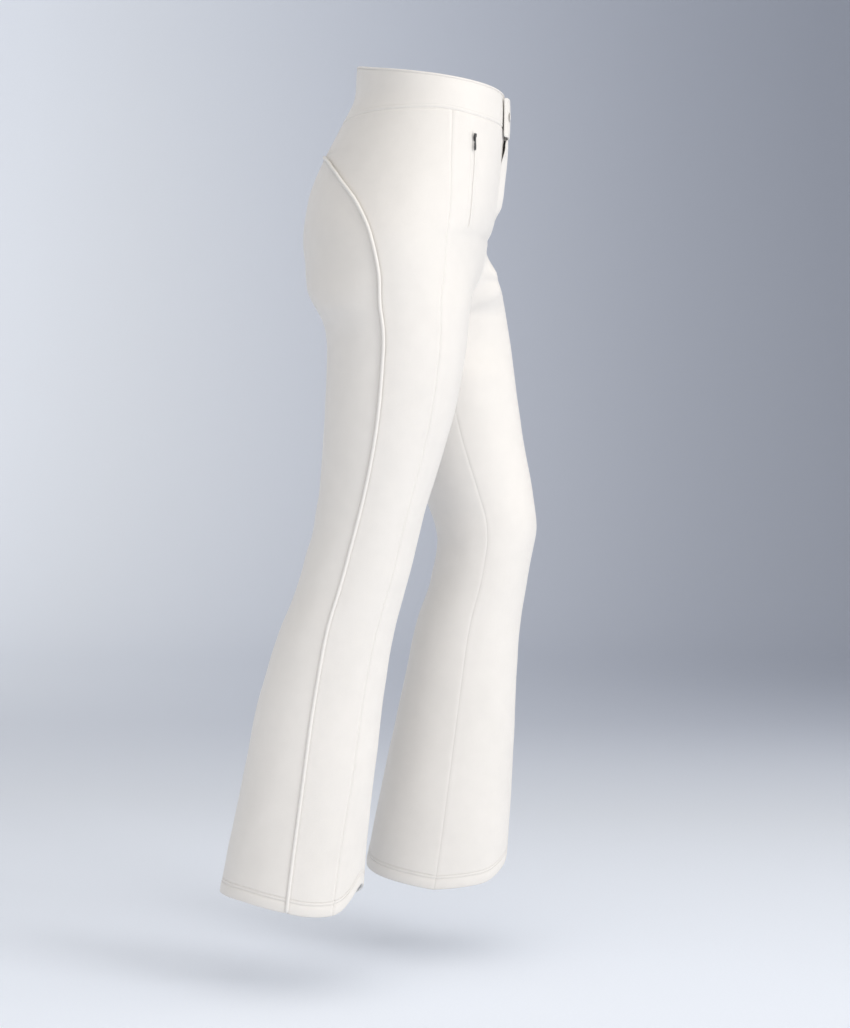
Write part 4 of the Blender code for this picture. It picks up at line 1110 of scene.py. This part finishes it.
def grid_edge(x, z):
    """How far a grid's points are from its nearest edge."""
    return np.minimum(np.minimum(x - x[:, :1], x[:, -1:] - x), np.minimum(z[:1] - z, z - z[-1:]))


def fly():
    tape = np.array([0.0011, 0.00115, 0.0014, 0.0024, 0.0040, 0.0060, 0.0085, 0.0110, 0.0130, 0.0142,
                     0.01445, 0.0145])
    zs = np.linspace(FLY_TOP_Z, FLY_BOTTOM_Z, 60)
    for side, sign in SIDES.items():
        x, z = np.meshgrid(tape * sign, zs)
        edge = tape_edge(x, tape)
        cord = 0.0004 * hump(np.abs(x) - 0.0019, 0.0006)
        faces = (on_front(x, z, ZIP_DEPTH - cord + rounded(edge, 0.0003)),
                 on_front(x, z, ZIP_DEPTH + TAPE - rounded(edge, 0.00029)))
        sheet(f"fly_zip_{side}_tape", f"fly_zip_{side}", faces, [MATS["tape"]], "zip_tape", "stretched",
              [f"{side}_front_panel_cloth"])

    def line(t, offset):
        z = FLY_TOP_Z + 0.002 + (FLY_BOTTOM_Z - FLY_TOP_Z - 0.005) * t
        x = np.full_like(z, offset)
        return on_front(x, z, 0.0), front_normal(x, z)

    zip_coil("fly_zip_coil", line, 0.096, 0.0016, 0.0022, 0.00042, 0.0013)
    x, z = np.meshgrid(np.linspace(-0.024, 0.013, 26), np.linspace(FLY_TOP_Z, FLY_BOTTOM_Z - 0.016, 44))
    edge = grid_edge(x, z)
    bow = 0.0001 * np.sin(x * 160) * np.sin(z * 70)
    faces = (on_front(x, z, 0.0040 + rounded(edge, 0.0004) - bow),
             on_front(x, z, 0.0048 - rounded(edge, 0.00039) - bow))
    sheet("fly_shield_cloth", "fly_shield", faces, [MATS["lining"]], "lining", "hung", ["waistband_cloth"])
    leaf("fly_flap", FLAP_ROOT, FLAP_END, FLAP_TOP_Z, FLAP_FOOT_Z, 0.010, flap_depth, 0.0018, 0.0060, 0.0032,
         flap_thin)


def basis(origin, down, out):
    """A frame whose X is across, Y down the zip and Z out of the cloth."""
    across = down.cross(out).normalized()
    return Matrix.Translation(origin) @ Matrix((across, down, out)).transposed().to_4x4()


def block(bm, outline, low, high, bevel, place):
    """A prism with a bevelled rim, added to a bmesh."""
    base = [bm.verts.new((x, y, low)) for x, y in outline]
    face = bm.faces.new(base)
    grown = bmesh.ops.extrude_face_region(bm, geom=[face])
    top = [v for v in grown["geom"] if isinstance(v, bmesh.types.BMVert)]
    bmesh.ops.translate(bm, verts=top, vec=(0, 0, high - low))
    verts = base + top
    edges = dict.fromkeys(e for v in verts for e in v.link_edges)
    rim = [e for e in edges if abs(e.verts[0].co.z - e.verts[1].co.z) < 1e-9]
    made = bmesh.ops.bevel(bm, geom=rim, offset=bevel, segments=3, profile=0.6, affect="EDGES")
    every = dict.fromkeys([v for v in verts if v.is_valid] + made["verts"])
    bmesh.ops.transform(bm, matrix=place, verts=list(every))


def rounded_outline(half_width, y0, y1, radius):
    steps, points = 5, []
    for cx, cy, a in ((half_width - radius, y1 - radius, 0), (-half_width + radius, y1 - radius, 90),
                      (-half_width + radius, y0 + radius, 180), (half_width - radius, y0 + radius, 270)):
        for k in range(steps + 1):
            t = math.radians(a + 90 * k / steps)
            points.append((cx + radius * math.cos(t), cy + radius * math.sin(t)))
    return points


def mirrored(half):
    """A closed outline from its right half, given from top to bottom."""
    return half + [(-x, y) for x, y in half[::-1]]


def hardware(name, shapes, place, mat, body, nodes):
    """A small hard piece made of bevelled prisms: (outline, low, high, bevel) in its own frame."""
    bm = bmesh.new()
    for outline, low, high, bevel in shapes:
        block(bm, outline, low, high, bevel, place)
    bmesh.ops.recalc_face_normals(bm, faces=bm.faces)
    mesh = bpy.data.meshes.new(name)
    bm.to_mesh(mesh)
    bm.free()
    return finish_mesh(name, mesh, [mat], body, nodes, sharp=40)


def slider(prefix, origin, down, out):
    """A zip slider with raised cheeks and a pin, and its ribbed pull."""
    place = basis(origin, down, out)
    shield = mirrored([(0.0003, 0.0002), (0.0006, 0.0014), (0.0011, 0.0032), (0.0014, 0.0050),
                       (0.0014, 0.0068), (0.0011, 0.0086), (0.0007, 0.0098)])
    cheek = rounded_outline(0.00038, 0.0008, 0.0050, 0.00034)
    shapes = [(shield, 0.0, 0.0011, 0.00025)]
    for sign in (-1, 1):
        shapes.append(([(x + sign * 0.0013, y) for x, y in cheek], 0.0010, 0.0027, 0.0002))
    hardware(f"{prefix}_slider_body", shapes, place, MATS["slider"], f"{prefix}_slider",
             [f"{prefix}_slider"])
    hinge = basis(origin + down * 0.0012 + out * 0.0021, down, out)
    tag = mirrored([(0.0003, -0.0006), (0.0005, 0.0004), (0.0006, 0.0040), (0.0009, 0.0085), (0.0014, 0.0125),
                    (0.0017, 0.0155), (0.0016, 0.0176), (0.0011, 0.0190), (0.0004, 0.0195)])
    shapes = [(tag, -0.0006, 0.0006, 0.0003)]
    for k in range(3):
        y = 0.0132 + 0.0015 * k
        shapes.append((rounded_outline(0.0013, y, y + 0.0006, 0.00025), 0.0004, 0.0009, 0.00010))
    hardware(f"{prefix}_pull_tag", shapes, hinge, MATS["slider"], f"{prefix}_pull",
             [f"{prefix}_pull"])
    a, b = (np.array([hinge @ Vector((x, 0.0, 0.0))]) for x in (-0.0014, 0.0014))
    capsules(f"{prefix}_slider_pin", [(a, b, np.array([out]), 0.00045, 0.0)], MATS["slider"],
             f"{prefix}_slider", sides=10)


def press_stud():
    spot = front_point(*SNAP)
    out = (front_point(*SNAP, -0.01) - spot).normalized()
    x = (Vector((0, 0, 1)) - out * out.z).normalized()
    away = Matrix.Translation(spot) @ Matrix((x, out.cross(x), out)).transposed().to_4x4()

    def lifted(height):
        return away @ Matrix.Translation((0, 0, height))

    stud = [(0, 0.0024), (0.0010, 0.00238), (0.0017, 0.0022), (0.0020, 0.0018), (0.0018, 0.0013),
            (0.0020, 0.0009), (0.0036, 0.0008), (0.0043, 0.0006), (0.0045, 0.0003), (0.0044, 0.0), (0, 0.0)]
    turned("snap_stud_turned", stud, lifted(0.0004), MATS["nickel"], "garment", ["snap_stud"])
    socket = [(0.0025, 0.0007), (0.0030, 0.0009), (0.0040, 0.0009), (0.0047, 0.0006), (0.0049, 0.0003),
              (0.0047, 0.0), (0.0028, 0.0), (0.0025, 0.0002), (0.0025, 0.0007)]
    turned("snap_socket_turned", socket, lifted(0.0024), MATS["nickel"], "waist_tab",
           ["snap_socket"])
    cap = [(0, 0.0016), (0.0015, 0.00157), (0.0030, 0.00142), (0.0042, 0.00118), (0.0046, 0.00098),
           (0.0050, 0.00102), (0.0056, 0.00085), (0.0060, 0.0004), (0.0059, 0.0), (0, 0.0)]
    turned("snap_cap_turned", cap, lifted(0.0074), MATS["snap"], "waist_tab", ["snap_cap"])


# ---- pockets -------------------------------------------------------------------------------------
def beside_pocket(side, offset, z, depth):
    """Points at a distance from the slit's middle line, depth inside the outer face."""
    angle = pocket_angle(z) + np.degrees(offset / POCKET_RADIUS)
    return skin(side, angle, z, np.broadcast_to(depth, angle.shape))


def pocket(side):
    zs = np.linspace(POCKET_TOP_Z - 0.0008, POCKET_FOOT_Z + 0.0008, 60)
    tape = np.array([0.0008, 0.00085, 0.0011, 0.0017, 0.0026, 0.0040, 0.0055, 0.0070, 0.0082, 0.0088, 0.0090])
    for part, sign in (("front", -1), ("rear", 1)):
        x, z = np.meshgrid(tape * sign, zs)
        edge = tape_edge(x, tape)
        outer = beside_pocket(side, x, z, ZIP_DEPTH + rounded(edge, 0.0003))
        inner = beside_pocket(side, x, z, ZIP_DEPTH + TAPE - rounded(edge, 0.00029))
        cloth(f"{side}_pocket_tape_{part}", outer, inner, [MATS["tape"]], "garment", "zip_tape",
              [f"{side}_pocket_zip_{part}"])

    def line(t, offset):
        z = zs[0] - 0.002 + (zs[-1] - zs[0] + 0.004) * t
        angle = pocket_angle(z) + math.degrees(1 / POCKET_RADIUS) * offset
        return face_line(side, angle, z, 0.0)

    zip_coil(f"{side}_pocket_coil", line, 0.108, 0.0013, 0.0015, 0.00036, 0.0016)
    sew_pocket(side)
    back = ZIP_DEPTH + TAPE
    down = np.linspace(POCKET_TOP_Z + 0.004, POCKET_FOOT_Z - 0.035, 60)
    x, z = np.meshgrid(np.linspace(-0.040, 0.024, 40), down)
    edge = grid_edge(x, z)
    crumple = 0.00025 * np.sin(x * 210 + z * 90) * np.sin(z * 130 - x * 60) * ease(edge / 0.006)
    faces = (beside_pocket(side, x, z, back + 0.0006 + rounded(edge, 0.0008)),
             beside_pocket(side, x, z, back + 0.0022 - rounded(edge, 0.00078) + crumple))
    sheet(f"{side}_pocket_bag_cloth", f"{side}_pocket_bag", faces, [MATS["lining"]], "lining", "hung",
          [f"{side}_front_panel_cloth"])


def sew_pocket(side):
    """A frame of topstitching round the slit."""
    beside, past = 0.0060, 0.0045
    top, foot = POCKET_TOP_Z + past, POCKET_FOOT_Z - past
    down = np.linspace(top, foot, 200)
    across = np.degrees(np.linspace(-beside, beside, 20) / POCKET_RADIUS)
    lines = [(pocket_angle(down) + math.degrees(x / POCKET_RADIUS), down) for x in (-beside, beside)]
    lines += [(pocket_angle(z) + across, np.full_like(across, z)) for z in (top, foot)]
    stitching(f"{side}_pocket", [sewn(*face_line(side, angle, z, 0.00005), 0.0026) for angle, z in lines])


def pocket_run(side):
    """Where a pocket's slider starts, the way it runs, and the way out of the cloth."""
    z = np.array(POCKET_RUN)
    p, n = on_half(side, pocket_angle(z), z), outward(side, pocket_angle(z), z)
    first, last, half_way = Vector(p[0]), Vector(p[1]), Vector(n[2])
    down = (last - first).normalized()
    out = (half_way - half_way.dot(down) * down).normalized()
    z = np.linspace(POCKET_RUN[0], POCKET_FOOT_Z, 11)
    bulge = max((Vector(q) - first).dot(out) for q in on_half(side, pocket_angle(z), z))
    return first + out * (bulge + 0.0004), down, out


# ---- ribbons inside the waist --------------------------------------------------------------------
def hanger_loop(side):
    """A ribbon loop inside the waistband, its two ends stitched in."""
    place = side, np.array(0.0), np.array(-0.013)
    start = Vector(on_half(*place)) - Vector(outward(*place)) * 0.0062
    radius, drop = 0.0012, 0.052
    sway = np.linspace(0, 1, 18)
    left = [(-radius - 0.0006 * math.sin(s * math.pi), -drop * s) for s in sway]
    arc = [(-radius * math.cos(t), -drop - radius * math.sin(t)) for t in np.linspace(0, math.pi, 9)[1:-1]]
    right = [(radius + 0.0006 * math.sin(s * math.pi), -drop * s) for s in sway[::-1]]
    line = np.array(left + arc + right)
    tangent = np.gradient(line, axis=0)
    tangent /= np.linalg.norm(tangent, axis=-1, keepdims=True)
    normal = np.stack([tangent[:, 1], -tangent[:, 0]], -1)
    across = np.array([-4.0, -3.95, -3.8, -3.4, -2, 0, 2, 3.4, 3.8, 3.95, 4.0]) / 1000
    edge = 0.004 - np.abs(across)
    grids = []
    for sign in (1, -1):
        off = sign * (0.0003 - rounded(edge, 0.0003) * (1 if sign > 0 else 0.98))
        flat = line[:, None] + normal[:, None] * off[None, :, None]
        p = np.stack([flat[..., 0], np.broadcast_to(across, flat.shape[:2]), flat[..., 1]], -1)
        grids.append(p + np.array(start))
    cloth(f"{side}_hanger_ribbon", *grids, [MATS["ribbon"]], "garment", "ribbon", [f"{side}_hanger_loop"])


def care_label():
    x, z = np.meshgrid(np.linspace(-0.012, 0.012, 25), np.linspace(-0.060, -0.104, 40))
    edge = np.minimum(0.012 - np.abs(x), np.minimum(z[:1] - z, z - z[-1:]))
    curl = 0.0009 * ((z[:1] - z) / 0.044) ** 2 + 0.0003 * np.sin((z[:1] - z) * 150)
    base = on_half("right", np.full(z.shape, 90.0), z)
    n = outward("right", np.full(z.shape, 90.0), z)
    base[..., 0] = x
    n[..., 0] = 0
    outer = base - n * (0.0046 + curl + rounded(edge, 0.0002))[..., None]
    inner = base - n * (0.0052 + curl - rounded(edge, 0.00019))[..., None]
    sheet("care_label_ribbon", "care_label", (outer, inner), [MATS["ribbon"]], "ribbon", "hung",
          ["waistband_facing_cloth"])


# ---- the whole garment ---------------------------------------------------------------------------
def garment():
    waistband()
    for side in SIDES:
        panels(side)
        side_piping(side)
        hem(side)
        gaiter(side)
        pocket(side)
        slider(f"{side}_pocket", *pocket_run(side))
        hanger_loop(side)
    care_label()
    fly()
    top, foot = (front_point(0, z) for z in FLY_RUN)
    down = (foot - top).normalized()
    out = down.cross(Vector((1, 0, 0)))
    slider("fly", top + out * 0.0003, down, out)
    leaf("waist_tab", TAB_ROOT, TAB_END, TAB_TOP_Z, TAB_FOOT_Z, 0.003, tab_depth, 0.0028, 0.0080, 0.0035)
    press_stud()


garment()

# ---- stage, light and camera ---------------------------------------------------------------------
FLOOR_Z = -1.0965
KEY_SIDE = (-0.66, -0.70, 0.27)  # where most of the studio's light comes from
WALL_X = 5.2
SWEEP = 2.0  # the radius of the paper's bend from the floor up to the wall
CAMERA = (-2.8, 0.0092, -0.370)
CAMERA_DOWN = 3.3265271  # degrees that it looks down
LENS = 79.529183  # mm, on a sensor 36 mm high


def paper_light_and_shade(x, y):
    """How light the backdrop's paper is painted: painted light and shade, graded across the wall from dark at
    -y to light at +y, and on the floor lighter in front, going into painted shade towards the wall.
    """
    # painted light and shade on the wall, darker towards -y
    wall = through([(-1.43, 0.297), (-0.74, 0.383), (0.75, 0.655), (1.44, 0.775)], y)
    # painted shade on the floor, deepening towards the wall
    ahead = [(-0.16, 0.745), (0.35, 0.72), (0.70, 0.675), (1.12, 0.60), (1.54, 0.555), (2.06, 0.49)]
    floor = through(ahead, x) * (1.15 + 0.06 * np.clip(y, -1, 1))
    far = ease((x - 1.0) / 1.9)
    return wall * far + floor * (1 - far)


def backdrop():
    """A floor that sweeps up into a wall of pale blue grey paper, with light and shade painted on it."""
    sweep = np.linspace(0, math.pi / 2, 24)
    flat = np.concatenate([[-9, -5, -2], np.linspace(-0.8, WALL_X - SWEEP, 28)[:-1]])
    xs = np.concatenate([flat, WALL_X - SWEEP + SWEEP * np.sin(sweep), [WALL_X] * 3])
    zs = np.concatenate([np.full(len(flat), FLOOR_Z), FLOOR_Z + SWEEP * (1 - np.cos(sweep)), [1.4, 2.5, 6.0]])
    ys = np.concatenate([[-9, -5, -3], np.linspace(-2, 2, 33), [3, 5, 9]])
    y, x = np.meshgrid(ys, xs)
    grid = np.stack([x, y, np.broadcast_to(zs[:, None], x.shape)], -1)
    rows, columns = x.shape
    index = np.arange(rows * columns).reshape(rows, columns)
    faces = np.stack([index[:-1, :-1], index[:-1, 1:], index[1:, 1:], index[1:, :-1]], -1).reshape(-1, 4)
    mesh = bpy.data.meshes.new("studio_sweep")
    mesh.from_pydata(grid.reshape(-1, 3).tolist(), [], faces.tolist())
    mesh.shade_smooth()
    # the painted light and shade, kept on the paper's points
    made = mesh.attributes.new("paint", "FLOAT", "POINT")
    made.data.foreach_set("value", paper_light_and_shade(x, y).astype(np.float32).ravel())
    obj = bpy.data.objects.new("studio_sweep", mesh)
    bpy.context.scene.collection.objects.link(obj)
    mat, shader, tree = begin("studio_paper", Specular_IOR_Level=0.1)
    place = node(tree, "TexCoord").outputs["Object"]
    # read the painted light and shade
    level = node(tree, "Attribute", attribute_name="paint").outputs["Fac"]
    level = sum_of(tree, "MULTIPLY", level, between(tree, noise(tree, place, 300, 2.0), 0.99, 1.01))
    # painted shade: where the painted grade is darker, the paper is bluer
    green = sum_of(tree, "MULTIPLY", level, between(tree, level, 1.091, 1.059))
    blue = sum_of(tree, "MULTIPLY", level, between(tree, level, 1.31, 1.16))
    tint = node(tree, "CombineColor", {0: level, 1: green, 2: blue}).outputs[0]
    join(tree, shader, Base_Color=tint, Roughness=between(tree, noise(tree, place, 40, 2.0), 0.85, 0.95))
    mesh.materials.append(mat)


def light(name, place, target, size, power, colour):
    data = bpy.data.lights.new(name, "AREA")
    data.shape, data.size, data.size_y = "RECTANGLE", size[0], size[1]
    data.energy, data.color = power, colour
    obj = bpy.data.objects.new(name, data)
    obj.location = place
    obj.rotation_euler = (Vector(target) - Vector(place)).to_track_quat("-Z", "Y").to_euler()
    bpy.context.scene.collection.objects.link(obj)


def studio():
    scene = bpy.context.scene
    scene.view_settings.view_transform = "Standard"
    world = bpy.data.worlds.new("studio")
    scene.world = world
    world.use_nodes = True
    sky = world.node_tree.nodes["Background"]
    sky.inputs[0].default_value = (1.0, 0.975, 0.945, 1)
    tree = world.node_tree
    towards = node(tree, "TexCoord").outputs["Generated"]
    facing = node(tree, "VectorMath", {0: towards, 1: KEY_SIDE}, operation="DOT_PRODUCT").outputs["Value"]
    tree.links.new(between(tree, facing, 0.20, 1.22, (-1.0, 1.0)), sky.inputs[1])
    light("low", (-0.5, 2.0, -0.75), (0.0, 0.1, -0.75), (1.6, 0.9), 1.6, (1.0, 0.98, 0.955))
    light("key", (-1.9, -2.6, 0.9), (0, 0, -0.5), (1.6, 1.8), 44, (1.0, 0.98, 0.955))


def camera():
    data = bpy.data.cameras.new("camera")
    data.sensor_fit, data.sensor_height, data.sensor_width = "VERTICAL", 36.0, 36.0
    data.lens = LENS
    obj = bpy.data.objects.new("camera", data)
    obj.location = CAMERA
    obj.rotation_euler = (math.radians(90 - CAMERA_DOWN), 0, math.radians(-90))
    bpy.context.scene.collection.objects.link(obj)
    bpy.context.scene.camera = obj


backdrop()
studio()
camera()
